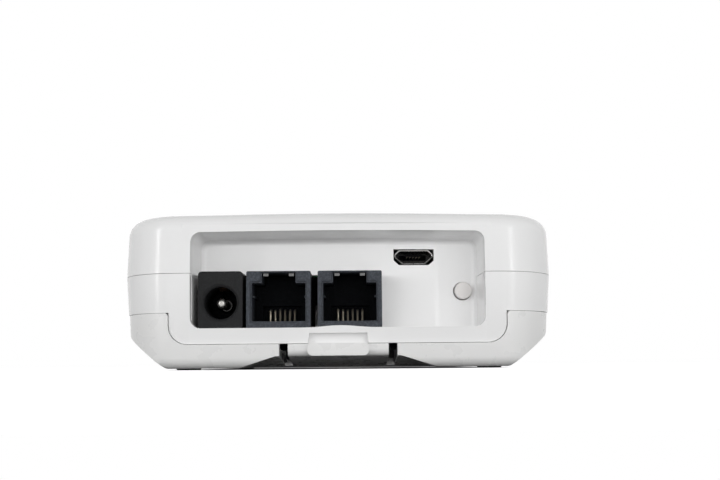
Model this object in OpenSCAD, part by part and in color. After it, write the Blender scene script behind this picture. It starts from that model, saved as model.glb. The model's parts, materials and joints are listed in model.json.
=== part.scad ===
// Optical network terminal: a two-shell case on a clip-on fibre tray.
// Millimetres, +Z up. The ports face -Y. The origin is the centre of the footprint on the table.

/* [Case] */
// Width of the case at the parting line
body_w = 87; // [82:0.2:110]
// Length of the case, ports to rear wall
body_l = 110; // [100:1:150]
// Plan radius of the case corners
corner_r = 12; // [9:0.5:16]
// Wall thickness of the shells
wall = 2; // [1.6:0.1:2.4]
// Thickness of the floors
floor_t = 1.8; // [1.4:0.1:2.4]
// Height of the top cover above the parting line
cover_h = 12.6; // [11.6:0.05:16]
// Height of the lower housing's band, tray rim to parting line
band_h = 7.65; // [7.2:0.05:12]
// Radius of the top edge
edge_r = 3.6; // [3:0.1:6]
// Draft of the top cover's walls, degrees
cover_draft = 2; // [1:0.1:5]
// Draft of the lower housing's walls, degrees
band_draft = 3.7; // [1:0.1:4]

/* [Fibre tray] */
// Height of the tray from its underside to its rim
tray_h = 10.75; // [10:0.05:16]
// Step by which the tray is narrower than the case on each side
tray_step = 0.7; // [0.2:0.1:1]
// Width of the flat underside between the long chamfers
tray_flat_w = 71.4; // [68:0.1:74]
// Height of the long chamfers
chamfer_h = 5.9; // [3:0.1:7]
// Radius of the tray's lower front and rear edges
tray_edge_r = 2; // [1:0.1:2.5]
// Diameter of the rubber feet
foot_d = 8; // [6:0.5:9]
// Height that the feet stand out of the tray
foot_out = 0.3; // [0.2:0.1:1.5]
// Distance from the feet to the ends of the case
foot_end = 10.5; // [8:0.5:16]
// Diameter of the fibre spool
spool_d = 44; // [40:1:50]
// Height of the fibre spool above the tray floor
spool_h = 6.8; // [5:0.1:7.4]
// Distance between the two wall screw holes
wall_hole_pitch = 66; // [62:1:72]
// Diameter of the wall screw holes
wall_hole_d = 4.2; // [3:0.1:5]

/* [Latch] */
// Width of the latch tongue
tongue_w = 19.4; // [16:0.1:20]
// Width of the slot on each side of the tongue
tongue_slot = 1.74; // [1:0.01:2.5]
// Length of the tongue, front face to hinge axis
tongue_l = 16; // [14:0.5:20]
// Thickness of the tongue
tongue_t = 1.5; // [1.2:0.1:1.8]
// Angle that the latch is pressed down by, degrees
latch_turn = 5; // [4:0.5:6]
// Width of the latch's nib
nib_w = 8; // [6:0.5:10]
// Width of the thumb tab
tab_w = 11.8; // [8:0.1:14]
// Height of the thumb tab
tab_h = 2.4; // [2:0.1:2.6]
// Distance that the thumb tab stands out of the front
tab_out = 0.8; // [0.4:0.1:2]
// Height of the scoop under the tongue
scoop_h = 2.32; // [2:0.01:2.6]
// Width of the scoop at the underside
scoop_w = 38.8; // [34:0.2:46]
// Width of the scoop where it is highest
scoop_top_w = 24; // [20:0.2:30]

/* [Port recess] */
// Width of the port recess
recess_w = 57.3; // [56:0.1:64]
// Depth of the port recess
recess_d = 11.4; // [9:0.1:12]
// Height of the brow above the recess
brow_h = 4.45; // [3.6:0.05:5]
// Height of the sill below the recess
sill_h = 3.05; // [2.4:0.05:3.6]
// Thickness of the recess's side walls
cheek_t = 1.6; // [1.2:0.1:1.8]

/* [Ports] */
// Distance of the jack faces behind the front
port_setback = 2; // [1.5:0.1:4]
// Height of the modular jacks
jack_h = 11.3; // [11:0.1:12]
// Width of one modular jack
jack_w = 12.6; // [12:0.05:13]
// Distance between the centres of the two modular jacks
jack_pitch = 13.97; // [13.5:0.01:16]
// Length of the modular jacks
jack_l = 18; // [16:0.5:19]
// Gap between the side of the recess and the power jack
port_margin = 1.25; // [1:0.05:1.6]
// Width of the power jack
dc_w = 8.7; // [8.4:0.1:9.4]
// Diameter of the power jack's socket
dc_hole_d = 6.4; // [5.5:0.1:6.8]
// Diameter of the power jack's centre pin
dc_pin_d = 2; // [1.3:0.1:2.5]
// Gap between the power jack and its neighbour
dc_gap = 0.7; // [0.3:0.1:1]
// Share of the width left beside the jacks that lies before the micro USB socket
usb_share = 0.35; // [0.3:0.01:0.38]
// Width of the micro USB shell
usb_w = 8; // [7.4:0.1:8.4]
// Height of the micro USB shell
usb_h = 3; // [2.6:0.1:3.2]
// Width of the micro USB shell's narrow side
usb_base_w = 4.6; // [4:0.1:5.4]
// Height of the micro USB shell above the board
usb_lift = 0.7; // [0.3:0.05:0.8]

/* [Reset button] */
// Share of the width left beside the jacks that lies beyond the button
button_share = 0.14; // [0.12:0.01:0.18]
// Diameter of the button cap
button_d = 3.6; // [3:0.1:4.4]
// Distance that the button stands out of its panel
button_out = 1.2; // [0.8:0.1:2]
// Travel of the button
button_travel = 0.5; // [0.3:0.05:0.7]

/* [Fibre port] */
// Centre of the fibre port, across the rear
sc_x = 18; // [14:0.5:22]
// Width of the fibre receptacle
sc_w = 12.6; // [12.4:0.1:13.4]
// Height of the fibre receptacle
sc_h = 9.4; // [9.2:0.1:10.2]
// Distance that the dust cap stands out of the rear
cap_out = 5.5; // [4:0.5:8]

/* [Board] */
// Thickness of the circuit board
board_t = 1.6; // [1.2:0.1:2]
// Gap between the board and the side walls
board_gap = 3.4; // [3.2:0.1:5]
// Diameter of the case screws
screw_d = 2.6; // [2:0.1:3]
// Number of status lights
light_count = 5; // [3:1:5]
// Distance between the status lights
light_pitch = 6; // [5:0.5:6.5]

/* [Hidden] */
$fn = 48;

// Clearances
seam = 0.1;      // between mouldings that meet
slip = 0.2;      // between a part and the cut-out that it passes through
fit = 0.05;      // radial play of a running fit
apart = 0.3;     // between faces of pieces that move past each other
through = 1;     // overrun of a cut past the face that it leaves

// Height of the board's underside above the parting line
board_rise = 0.55;

// Heights, from the table up
tray_z = foot_out;
tray_rim_z = tray_z + tray_h;
split_z = tray_rim_z + band_h;
body_h = split_z + cover_h;
board_z = split_z + board_rise;
board_top_z = board_z + board_t;
jack_z = board_z - jack_h;
sill_z = jack_z + seam;
chin_z = sill_z - sill_h;
chin_floor_z = chin_z + floor_t;
tray_front_z = chin_z - seam;
housing_floor_z = tray_rim_z + floor_t;
ceiling_z = body_h - wall;
brow_z = body_h - brow_h;
tray_floor_z = tray_z + floor_t;
knuckle_d = 2;
knuckle_z = tray_z + 1.6;

// Places along the case, from the front face back
front_y = -(body_l + tab_out + cap_out) / 2 + tab_out;
panel_t = 2;
panel_back_y = recess_d + panel_t;
board_front_y = panel_back_y + 0.4;
board_back_y = body_l - 13;
board_w = body_w - 2 * wall - 2 * board_gap;
chin_w = recess_w + 8.2;
chin_l = port_setback + jack_l + wall + 2;
chin_corner_r = 3.6;
screw_x = board_w / 2 - 4.5;
screw_ys = [chin_l + 6, board_back_y - 5];
spool_y = body_l / 2 + 7;
hole_ys = [spool_y - wall_hole_pitch / 2, spool_y + wall_hole_pitch / 2];

// Places across the front: the jacks follow the recess's left side, and the micro USB socket and
// the button share the width that is left to its right side
dc_x = port_margin + dc_w / 2 - recess_w / 2;
jack_xs = [dc_x + dc_w / 2 + dc_gap + jack_w / 2, dc_x + dc_w / 2 + dc_gap + jack_w / 2 + jack_pitch];
jacks_end = jack_xs[1] + jack_w / 2;
jack_gate_l = dc_x - dc_w / 2 - slip;
jack_gate_r = jacks_end + slip;
free_w = recess_w / 2 - jacks_end - usb_w - button_d;
usb_x = jacks_end + usb_share * free_w + usb_w / 2;
button_x = recess_w / 2 - button_share * free_w - button_d / 2;

// ---- Shared shapes ----

function unit(v) = v / norm(v);

// Outline with each corner turned into an arc of its own radius
function rounded(points, radii, steps = 5) = [
    for (i = [0 : len(points) - 1])
        let (
            before = points[(i + len(points) - 1) % len(points)],
            here = points[i],
            after = points[(i + 1) % len(points)],
            r = is_list(radii) ? radii[i] : radii,
            u = unit(before - here),
            v = unit(after - here),
            half = acos(u * v) / 2,
            centre = here + unit(u + v) * r / sin(half),
            from = here + u * r / tan(half) - centre,
            to = here + v * r / tan(half) - centre,
            a0 = atan2(from.y, from.x),
            turn = (atan2(to.y, to.x) - a0 + 540) % 360 - 180
        )
        each r == 0 ? [here] : [for (k = [0 : steps]) centre + r * [cos(a0 + turn * k / steps),
            sin(a0 + turn * k / steps)]]
];

function box_outline(x0, z0, x1, z1) = [[x0, z0], [x1, z0], [x1, z1], [x0, z1]];

// Extrudes an outline drawn in X and Z from y0 back to y1
module across(y0, y1) {
    translate([0, y1, 0])
        rotate([90, 0, 0])
            linear_extrude(y1 - y0)
                children();
}

// Extrudes an outline drawn in Y and Z from x0 to x1
module along_x(x0, x1) {
    translate([x0, 0, 0])
        rotate([90, 0, 90])
            linear_extrude(x1 - x0)
                children();
}

// Cylinder that runs back from y0 to y1
module rod(x, z, y0, y1, d) {
    translate([x, y1, z])
        rotate([90, 0, 0])
            cylinder(h = y1 - y0, d = d);
}

// Box between two corners
module box(low, high) {
    translate(low)
        cube(high - low);
}

// Rounds to a micrometre, so that the corners and sides of a block meet on the same points
function micro(v) = round(v * 1000) / 1000;

// Round-cornered block whose edge follows a profile of [inset, height] points, lowest first
module soft_block(w, l, r, profile) {
    edge = [for (p = profile) [micro(p.x), micro(p.y)]];
    back = [for (i = [len(edge) - 1 : -1 : 0]) edge[i]];
    low = edge[0].y;
    high = back[0].y;
    corner = concat([[0, low]], [for (p = edge) [r - p.x, p.y]], [[0, high]]);
    side = concat([for (p = edge) [w / 2 - p.x, p.y]], [for (p = back) [p.x - w / 2, p.y]]);
    end = concat([for (p = edge) [l - p.x, p.y]], back);
    across(r, l - r)
        polygon(side);
    along_x(r - w / 2, w / 2 - r)
        polygon(end);
    for (s = [[1, l - r, 0], [-1, l - r, 90], [-1, r, 180], [1, r, 270]])
        translate([s.x * (w / 2 - r), s.y, 0])
            rotate([0, 0, s.z])
                rotate_extrude(angle = 90)
                    polygon(corner);
}

// Edge of the top cover: drafted wall, round edge and a slow crown in to the corner centre
function cover_profile(r, base, top, radius, steps = 7) =
    let (
        fall = 6,
        reach = r - radius - tan(cover_draft) * (top - base - radius),
        drop = tan(fall) * reach / 2,
        centre_z = top - drop - radius * cos(fall),
        start_z = centre_z + radius * sin(cover_draft),
        start_in = tan(cover_draft) * (start_z - base),
        centre_in = start_in + radius * cos(cover_draft),
        end_in = centre_in - radius * sin(fall)
    )
    concat([[0, base]],
        [for (k = [0 : steps])
            let (a = cover_draft + (90 - fall - cover_draft) * k / steps)
            [centre_in - radius * cos(a), centre_z + radius * sin(a)]],
        [for (k = [1 : 3])
            let (t = k / 4)
            [end_in + (r - end_in) * t, top - drop * (1 - t) * (1 - t)]],
        [[r - 0.01, top]]);

// Edge of the lower housing: a drafted wall
function band_profile(low, high) = [[tan(band_draft) * (split_z - low), low],
    [tan(band_draft) * (split_z - high), high]];

// Edge of the tray's ends: round below, drafted above
function tray_profile(base, top, radius, draft = 3) = concat(
    [for (k = [0 : 4])
        let (a = 90 * k / 4)
        [tan(draft) * (top - base - radius) + radius * (1 - sin(a)), base + radius * (1 - cos(a))]],
    [[0, top]]);

// Section of the tray across the case: flat underside and long chamfers
module tray_section(inset, base, top) {
    half = body_w / 2 - tray_step - inset;
    flat = tray_flat_w / 2 - inset * 0.4;
    polygon(rounded([[-flat, base], [flat, base], [half - 0.3, base + chamfer_h], [half + 1, top],
        [-half - 1, top], [0.3 - half, base + chamfer_h]], [1.5, 1.5, 3, 0, 0, 3], 3));
}

// Puts a piece drawn from the front face into the case's own frame
module from_front() {
    translate([0, front_y, 0])
        children();
}

// ---- Case ----

// Outline of the recess above the sill, as one opening in the front
module recess_outline(half, top, r) {
    polygon(rounded(box_outline(-half, sill_z, half, top), r));
}

// Solid of the top cover, or of its hollow when inset is the wall
module cover_block(inset, base) {
    translate([0, inset, 0])
        soft_block(body_w - 2 * inset, body_l - 2 * inset, corner_r - inset,
            cover_profile(corner_r - inset, base, body_h - inset, edge_r - inset / 2));
}

// Ribs that hold the fibre receptacle behind the rear walls
sc_rib = 1.4;
sc_rib_t = 2;

// Cut-out in the rear walls for the fibre receptacle
module fibre_cutout() {
    half_w = sc_w / 2 + slip;
    half_h = sc_h / 2 + slip;
    box([sc_x - half_w, body_l - wall - 2, split_z - half_h],
        [sc_x + half_w, body_l + through, split_z + half_h]);
    box([sc_x - half_w - sc_rib, body_l - wall - sc_rib_t - 2, split_z - half_h],
        [sc_x + half_w + sc_rib, body_l - wall, split_z + half_h]);
}

usb_z = board_top_z + usb_lift;

// Cut-out for the micro USB socket: a rectangle with its lower corners cut off
function usb_window() =
    let (w = usb_w / 2 + slip, low = usb_z - slip, high = usb_z + usb_h + slip, cut = 1.1)
    [[usb_x - w, high], [usb_x - w, low + cut], [usb_x - w + cut, low], [usb_x + w - cut, low],
        [usb_x + w, low + cut], [usb_x + w, high]];

// Section of the micro USB shell, wide side up, drawn in by inset
function usb_section(inset) =
    let (
        w = usb_w / 2 - inset,
        base = usb_base_w / 2 - inset * 0.6,
        h = usb_h - 2 * inset,
        low = usb_z + inset,
        waist = low + 0.52 * h,
        shoulder = low + 0.7 * h
    )
    rounded([[usb_x - base, low], [usb_x + base, low], [usb_x + w, waist], [usb_x + w, shoulder],
        [usb_x + w - 0.8, low + h], [usb_x - w + 0.8, low + h], [usb_x - w, shoulder],
        [usb_x - w, waist]], 0.4 - inset / 2, 2);

// Height of the reset button's axis
button_z = board_z - 3.35;

// Wall of the port recess: brow, cheeks and the panel that the ports look through
module recess_liner() {
    outer = recess_w / 2 + cheek_t;
    box([-outer, seam, split_z], [outer, panel_back_y, brow_z + cheek_t]);
    box([-outer, wall + slip, chin_floor_z + 0.3], [outer, panel_back_y, split_z]);
}

module port_cutouts() {
    box([jack_gate_l, recess_d - through, 0], [jack_gate_r, panel_back_y + through, board_z + 0.15]);
    across(recess_d - through, panel_back_y + through)
        polygon(usb_window());
    rod(button_x, button_z, recess_d - through, panel_back_y + through, button_d + 2 * slip);
}

function light_x(i) = -12 + (i - (light_count - 1) / 2) * light_pitch;
light_y = board_back_y - 5;
light_post_d = 2.2;

// Length of screw that bites in the top cover's bosses
screw_bite = 5;

module top_cover() {
    lip_in = wall + seam;
    lip_t = 0.9;
    lip_l = 1.5;
    boss_d = 6.4;
    color([0.87, 0.87, 0.86])
        from_front()
            difference() {
                union() {
                    difference() {
                        cover_block(0, split_z);
                        cover_block(wall, split_z - through);
                    }
                    difference() {
                        translate([0, lip_in, 0])
                            soft_block(body_w - 2 * lip_in, body_l - 2 * lip_in, corner_r - lip_in,
                                [[0, split_z - lip_l], [0, split_z + 0.5]]);
                        translate([0, lip_in + lip_t, 0])
                            soft_block(body_w - 2 * (lip_in + lip_t), body_l - 2 * (lip_in + lip_t),
                                corner_r - lip_in - lip_t, [[0, split_z - 3], [0, split_z + 2]]);
                    }
                    recess_liner();
                    for (x = [-screw_x, screw_x], y = screw_ys)
                        translate([x, y, board_top_z + seam])
                            cylinder(h = ceiling_z + 0.5 - board_top_z - seam, d = boss_d);
                }
                across(-through, recess_d)
                    recess_outline(recess_w / 2, brow_z, [0, 0, 1.8, 1.8]);
                box([-recess_w / 2, -through, 0], [recess_w / 2, recess_d, sill_z + through]);
                port_cutouts();
                fibre_cutout();
                for (x = [-screw_x, screw_x], y = screw_ys)
                    translate([x, y, board_top_z - through])
                        cylinder(h = screw_bite + 1 + through, d = screw_d + 2 * fit);
                for (i = [0 : light_count - 1])
                    translate([light_x(i), light_y, ceiling_z - through])
                        cylinder(h = wall + 2 * through, d = light_post_d + slip);
            }
}

// Outline of the chin, the lower housing's part that shows between the tray's corner posts
module chin_outline(inset, base, top, r) {
    half = chin_w / 2 - inset;
    polygon(rounded(box_outline(-half, base, half, top), [r, r, 0, 0]));
}

// Finger notch: its depth, the lip of sill above it and the taper of its sides
notch_d = 1.2;
notch_lip = 1.05;
notch_taper = 0.3;

// Nib of the latch: its face, length and height, and how far it swings forward
nib_y = 4;
nib_l = 2;
nib_h = 0.9;
nib_swing = (chin_z + nib_h - knuckle_z) * sin(latch_turn);

hook_w = 5;
hook_x = tray_flat_w / 2 - 7.2;
hook_xs = [-hook_x, hook_x];
hook_y = body_l - 12;
hook_lip = 2;
hook_t = 2;
screw_head_d = 5;
screw_head_h = 1.9;
screw_seat_z = tray_rim_z + 0.2 + screw_head_h;

// Cooling slots: a row in each side wall and a row in the floor
module housing_vents() {
    side_count = 11;
    side_pitch = 4;
    side_w = 1.6;
    floor_pitch = 5;
    floor_w = 2;
    floor_l = 24;
    deep = 2 * wall;
    for (i = [0 : side_count - 1], x = [-body_w / 2 - through, body_w / 2 - deep]) {
        y = body_l / 2 + (i - (side_count - 1) / 2) * side_pitch;
        box([x, y - side_w / 2, housing_floor_z + 1], [x + deep + through, y + side_w / 2, split_z - 2]);
    }
    for (i = [-4 : 4])
        box([i * floor_pitch - floor_w / 2, spool_y - floor_l / 2, tray_rim_z - through],
            [i * floor_pitch + floor_w / 2, spool_y + floor_l / 2, housing_floor_z + through]);
}

module lower_housing() {
    standoff_d = 8;
    color([0.86, 0.86, 0.85])
        from_front()
            difference() {
                union() {
                    difference() {
                        union() {
                            soft_block(body_w, body_l, corner_r, band_profile(tray_rim_z, split_z));
                            intersection() {
                                soft_block(body_w, body_l, corner_r, [[tan(band_draft) * band_h, chin_z - 1],
                                    [tan(band_draft) * band_h, split_z - 1]]);
                                across(-through, chin_l)
                                    chin_outline(0, chin_z, split_z - 1, chin_corner_r);
                            }
                        }
                        translate([0, wall, 0])
                            soft_block(body_w - 2 * wall, body_l - 2 * wall, corner_r - wall,
                                band_profile(housing_floor_z, split_z + through));
                        across(wall, chin_l - wall)
                            chin_outline(wall, chin_floor_z, split_z, 1.2);
                    }
                    for (x = [-screw_x, screw_x], y = screw_ys)
                        translate([x, y, tray_rim_z])
                            cylinder(h = board_z - tray_rim_z, d = standoff_d);
                }
                across(-through, wall + 0.1)
                    recess_outline(recess_w / 2 + seam, split_z + through, [2, 2, 0, 0]);
                // Finger notch above the thumb tab
                across(-through, notch_d)
                    polygon([[-tab_w / 2, chin_z - through], [tab_w / 2, chin_z - through],
                        [tab_w / 2, chin_z], [tab_w / 2 - notch_taper, sill_z - notch_lip],
                        [notch_taper - tab_w / 2, sill_z - notch_lip], [-tab_w / 2, chin_z]]);
                // Catch for the latch's nib, with room for its swing as the latch is pressed
                box([-nib_w / 2 - slip, nib_y - nib_swing - slip, chin_z - through],
                    [nib_w / 2 + slip, nib_y + nib_l + slip, chin_floor_z + through]);
                fibre_cutout();
                for (x = [-screw_x, screw_x], y = screw_ys)
                    translate([x, y, tray_rim_z - through]) {
                        cylinder(h = screw_seat_z - tray_rim_z + through, d = screw_head_d + 2 * slip);
                        cylinder(h = board_z - tray_rim_z + 2 * through, d = screw_d + 2 * slip);
                    }
                for (x = hook_xs)
                    translate([x, hook_y, tray_rim_z])
                        box([-hook_w / 2 - slip, -slip, -through],
                            [hook_w / 2 + slip, hook_t + hook_lip + slip, floor_t + through]);
                housing_vents();
            }
}

// Solid of the tray, or of its hollow when inset is the wall
module tray_block(inset, base, top) {
    grow = inset + tray_step;
    intersection() {
        translate([0, inset, 0])
            soft_block(body_w - 2 * grow, body_l - 2 * inset, corner_r - inset,
                tray_profile(base, top, tray_edge_r));
        across(-through, body_l + through)
            tray_section(inset, base, top + 0.5);
    }
}

scoop_l = 18;

// Wedge under the latch, raised by lift and grown sideways by grow
module scoop(lift, grow) {
    intersection() {
        across(-through, scoop_l + 8)
            polygon(rounded([[-scoop_w / 2 - grow - 8, tray_z - 2], [scoop_w / 2 + grow + 8, tray_z - 2],
                [scoop_w / 2 + grow + 8, tray_z + lift], [scoop_w / 2 + grow, tray_z + lift],
                [scoop_top_w / 2 + grow, tray_z + scoop_h + lift],
                [-scoop_top_w / 2 - grow, tray_z + scoop_h + lift],
                [-scoop_w / 2 - grow, tray_z + lift], [-scoop_w / 2 - grow - 8, tray_z + lift]],
                [0, 0, 0, 2, 2, 2, 2, 0], 3));
        along_x(-scoop_w, scoop_w)
            polygon([[-2, tray_z - 1.5], [scoop_l + 8, tray_z - 1.5], [scoop_l + 8, tray_z + lift - 0.01],
                [scoop_l, tray_z + lift - 0.01], [-2, tray_z + scoop_h * (1 + 2 / scoop_l) + lift]]);
    }
}

bar_w = tongue_w + 2 * tongue_slot;

module wall_screw_hole(y) {
    translate([0, y, tray_z - through])
        cylinder(h = floor_t + 2 * through, d = wall_hole_d);
}

// Spool that the slack fibre is wound on, with lips that hold it down
module fibre_spool() {
    lip_w = 8;
    lip_l = 5;
    lip_t = 1.2;
    spool_t = 1.5;
    color([0.85, 0.84, 0.83])
        from_front()
            translate([0, spool_y, tray_floor_z]) {
                difference() {
                    cylinder(h = spool_h, d = spool_d);
                    translate([0, 0, -through])
                        cylinder(h = spool_h + 2 * through, d = spool_d - 2 * spool_t);
                }
                for (a = [45 : 90 : 315])
                    rotate([0, 0, a])
                        box([spool_d / 2 - spool_t / 2, -lip_w / 2, spool_h - lip_t],
                            [spool_d / 2 + lip_l, lip_w / 2, spool_h]);
            }
}

module fibre_tray() {
    color([0.85, 0.84, 0.83])
        from_front()
            difference() {
                union() {
                    difference() {
                        tray_block(0, tray_z, tray_rim_z);
                        difference() {
                            tray_block(wall, tray_floor_z, tray_rim_z + through);
                            scoop(floor_t, 1);
                        }
                    }
                    // Rear hooks that the lower housing slides under
                    for (x = hook_xs) {
                        box([x - hook_w / 2, hook_y, tray_floor_z - seam], [x + hook_w / 2, hook_y + hook_t,
                            housing_floor_z + slip + hook_lip]);
                        box([x - hook_w / 2, hook_y - hook_lip, housing_floor_z + slip],
                            [x + hook_w / 2, hook_y + hook_t, housing_floor_z + slip + hook_lip]);
                    }
                    // Bar that carries the latch's hinge
                    box([-bar_w / 2 - 2, tongue_l - 1.4, tray_z + 0.2],
                        [bar_w / 2 + 2, tongue_l + 2.6, knuckle_z + knuckle_d / 2 + 1]);
                }
                scoop(0, 0);
                // U-shaped gap in the front wall for the chin
                across(-through, wall + 2)
                    chin_outline(-seam, tray_front_z, tray_rim_z + 2, chin_corner_r + seam);
                // Opening for the latch tongue, and the bearing of its knuckle
                box([-bar_w / 2, -through, -1], [bar_w / 2, tongue_l - 1.4, tray_front_z + through]);
                along_x(-tongue_w / 2 - slip, tongue_w / 2 + slip)
                    polygon([[tongue_l - 4, knuckle_z - 1.2], [tongue_l, knuckle_z - 0.9],
                        [tongue_l, knuckle_z + 0.9], [tongue_l - 4, knuckle_z + 1.2]]);
                translate([-tongue_w / 2 - slip, tongue_l, knuckle_z])
                    rotate([0, 90, 0])
                        cylinder(h = tongue_w + 2 * slip, d = knuckle_d + 2 * fit);
                // Fibre entry in the rear wall
                box([-entry_x - entry_w, body_l - 2 * wall, tray_rim_z - entry_h],
                    [-entry_x, body_l + through, tray_rim_z + through]);
                for (y = hole_ys)
                    wall_screw_hole(y);
                for (x = foot_xs, y = foot_ys)
                    translate([x, y, tray_z - through])
                        cylinder(h = foot_seat + through, d = foot_d + slip);
            }
}

// Notch for the fibre, and the seats of the feet
entry_x = 28;
entry_w = 6;
entry_h = 5;
foot_seat = 0.5;
foot_x = tray_flat_w / 2 - foot_d / 2 - 0.6;
foot_xs = [-foot_x, foot_x];
foot_ys = [foot_end, body_l - foot_end];

module tray_latch() {
    // Underside of the tongue falls from the scoop's mouth to the hinge
    front_z = tray_z + scoop_h;
    top_z = knuckle_z + tongue_t / 2;
    color([0.86, 0.86, 0.85])
        from_front() {
            along_x(-tongue_w / 2, tongue_w / 2)
                polygon([[0, front_z], [wall, front_z - 0.2], [tongue_l, knuckle_z - tongue_t / 2],
                    [tongue_l, top_z], [wall, front_z + tongue_t - 0.2], [wall, tray_front_z],
                    [0, tray_front_z]]);
            translate([-tongue_w / 2, tongue_l, knuckle_z])
                rotate([0, 90, 0])
                    cylinder(h = tongue_w, d = knuckle_d);
            across(-tab_out, through)
                polygon(rounded(box_outline(-tab_w / 2, tray_front_z + seam - tab_h, tab_w / 2,
                    tray_front_z + seam), [0.9, 0.9, 0.2, 0.2], 4));
            // Nib that catches in the chin
            along_x(-nib_w / 2, nib_w / 2)
                polygon([[nib_y, front_z + tongue_t - 1], [nib_y + nib_l, front_z + tongue_t - 1.2],
                    [nib_y + nib_l, chin_z + nib_h / 3], [nib_y, chin_z + nib_h]]);
        }
}

module rubber_feet() {
    color([0.25, 0.25, 0.25])
        from_front()
            for (x = foot_xs, y = foot_ys)
                translate([x, y, 0])
                    rotate_extrude()
                        polygon([[0, 0], [foot_d / 2 - 0.3, 0], [foot_d / 2, 0.3],
                            [foot_d / 2, foot_out + foot_seat], [0, foot_out + foot_seat]]);
}

module splice_holder() {
    groove_d = 2.4;
    groove_pitch = 3.8;
    count = 4;
    size = [16, 12, 4.5];
    color([0.8, 0.8, 0.8])
        from_front()
            difference() {
                translate([-size.x / 2, spool_y - size.y / 2, tray_floor_z])
                    cube(size);
                for (i = [0 : count - 1])
                    rod((i - (count - 1) / 2) * groove_pitch, tray_floor_z + size.z - groove_d * 3 / 8,
                        spool_y - size.y / 2 - through, spool_y + size.y / 2 + through, groove_d);
            }
}

// ---- Board and what it carries ----

sc_barrel_inset = 24;
sc_barrel_y = body_l - sc_barrel_inset;
notch_half = sc_w / 2 + 0.6;

module circuit_board() {
    half = board_w / 2;
    color([0.1, 0.35, 0.2])
        from_front()
            difference() {
                translate([0, 0, board_z])
                    linear_extrude(board_t)
                        polygon(rounded([[-half, board_front_y], [half, board_front_y], [half, board_back_y],
                            [sc_x + notch_half, board_back_y], [sc_x + notch_half, sc_barrel_y - 10],
                            [sc_x - notch_half, sc_barrel_y - 10], [sc_x - notch_half, board_back_y],
                            [-half, board_back_y]], [2, 2, 3, 1, 1, 1, 1, 3]));
                for (x = [-screw_x, screw_x], y = screw_ys)
                    translate([x, y, board_z - through])
                        cylinder(h = board_t + 2 * through, d = screw_d + 3 * slip);
            }
}

dc_l = 14;
dc_hole_z = board_z - 6.2;
dc_hole_l = 9.5;

module dc_jack() {
    half = dc_w / 2;
    color([0.22, 0.22, 0.23])
        from_front()
            difference() {
                union() {
                    box([dc_x - half, port_setback, jack_z], [dc_x + half, port_setback + 3.5, board_z]);
                    box([dc_x - half + 0.4, port_setback + 3, jack_z + 0.4],
                        [dc_x + half - 0.4, port_setback + dc_l, board_z]);
                }
                rod(dc_x, dc_hole_z, port_setback - through, port_setback + dc_hole_l, dc_hole_d);
                translate([dc_x, port_setback - 0.01, dc_hole_z])
                    rotate([-90, 0, 0])
                        cylinder(h = 0.5, d1 = dc_hole_d + 1, d2 = dc_hole_d);
                // Slot for the spring contact
                box([dc_x - 1, port_setback + 2.5, dc_hole_z], [dc_x + 1, port_setback + dc_l - 2,
                    dc_hole_z + dc_hole_d / 2 + 1]);
            }
}

module dc_jack_pin() {
    y0 = port_setback + 1.2;
    color([0.8, 0.8, 0.78])
        from_front() {
            rod(dc_x, dc_hole_z, y0 + dc_pin_d / 2, port_setback + dc_hole_l, dc_pin_d);
            translate([dc_x, y0 + dc_pin_d / 2, dc_hole_z])
                rotate([90, 0, 0])
                    rotate_extrude()
                        intersection() {
                            circle(d = dc_pin_d);
                            square(dc_pin_d);
                        }
        }
}

module dc_jack_spring() {
    top = dc_hole_z + dc_hole_d / 2 + 1;
    y0 = port_setback + 2.7;
    color([0.75, 0.5, 0.35])
        from_front()
            along_x(dc_x - 0.9, dc_x + 0.9)
                polygon([[y0, top - 0.8], [y0 + 3, top - 1.5], [y0 + 8, top - 0.3], [y0 + 9, top - 0.3],
                    [y0 + 9, top], [y0 + 7.8, top], [y0 + 3, top - 1.2], [y0, top - 0.5]]);
}

jack_open_w = 10.5;
jack_notch_w = 6.6;
jack_floor_t = 1.45;
jack_shoulder_h = 2.35;
jack_roof_t = 0.3;
jack_hollow_l = 13;
comb_w = 7.8;
comb_h = 3.5;
comb_l = 1.8;
contact_count = 6;
contact_pitch = 1.016;

// Opening of a modular jack: the plug's body with the notch for its latch above
module jack_opening(x, grow) {
    half = jack_open_w / 2 + grow;
    notch = jack_notch_w / 2 + grow;
    shoulder_z = jack_z + jack_h - jack_shoulder_h + grow;
    notch_z = jack_z + jack_h - jack_roof_t;
    base = jack_z + jack_floor_t - grow;
    polygon([[x - half, base], [x + half, base], [x + half, shoulder_z], [x + notch, shoulder_z],
        [x + notch, notch_z], [x - notch, notch_z], [x - notch, shoulder_z], [x - half, shoulder_z]]);
}

module modular_jack(x) {
    half = jack_w / 2;
    color([0.26, 0.27, 0.28])
        from_front()
            difference() {
                box([x - half, port_setback, jack_z], [x + half, port_setback + jack_l, jack_z + jack_h]);
                across(port_setback - through, port_setback + jack_hollow_l)
                    jack_opening(x, 0);
                across(port_setback - through, port_setback + 0.35)
                    jack_opening(x, 0.3);
                // Comb in the rear of the hollow, where the contacts end
                box([x - comb_w / 2, port_setback + jack_hollow_l - through, jack_z + jack_floor_t],
                    [x + comb_w / 2, port_setback + jack_hollow_l + comb_l, jack_z + jack_floor_t + comb_h]);
                // Grooves that the contacts lie in, under the hollow
                for (i = [0 : contact_count - 1])
                    translate([contact_x(x, i), 0, 0])
                        box([-0.28, port_setback + 3, jack_z + 0.55],
                            [0.28, port_setback + jack_hollow_l + comb_l, jack_z + 2]);
                // Step under the rear
                box([x - half - 1, port_setback + jack_l - 1.5, jack_z - 1],
                    [x + half + 1, port_setback + jack_l + 1, jack_z + 2]);
                // Relief on the underside
                box([x - comb_w / 2, port_setback + 2, jack_z - 1],
                    [x + comb_w / 2, port_setback + 6, jack_z + 0.3]);
            }
}

module modular_jack_left() { modular_jack(jack_xs[0]); }
module modular_jack_right() { modular_jack(jack_xs[1]); }

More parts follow.
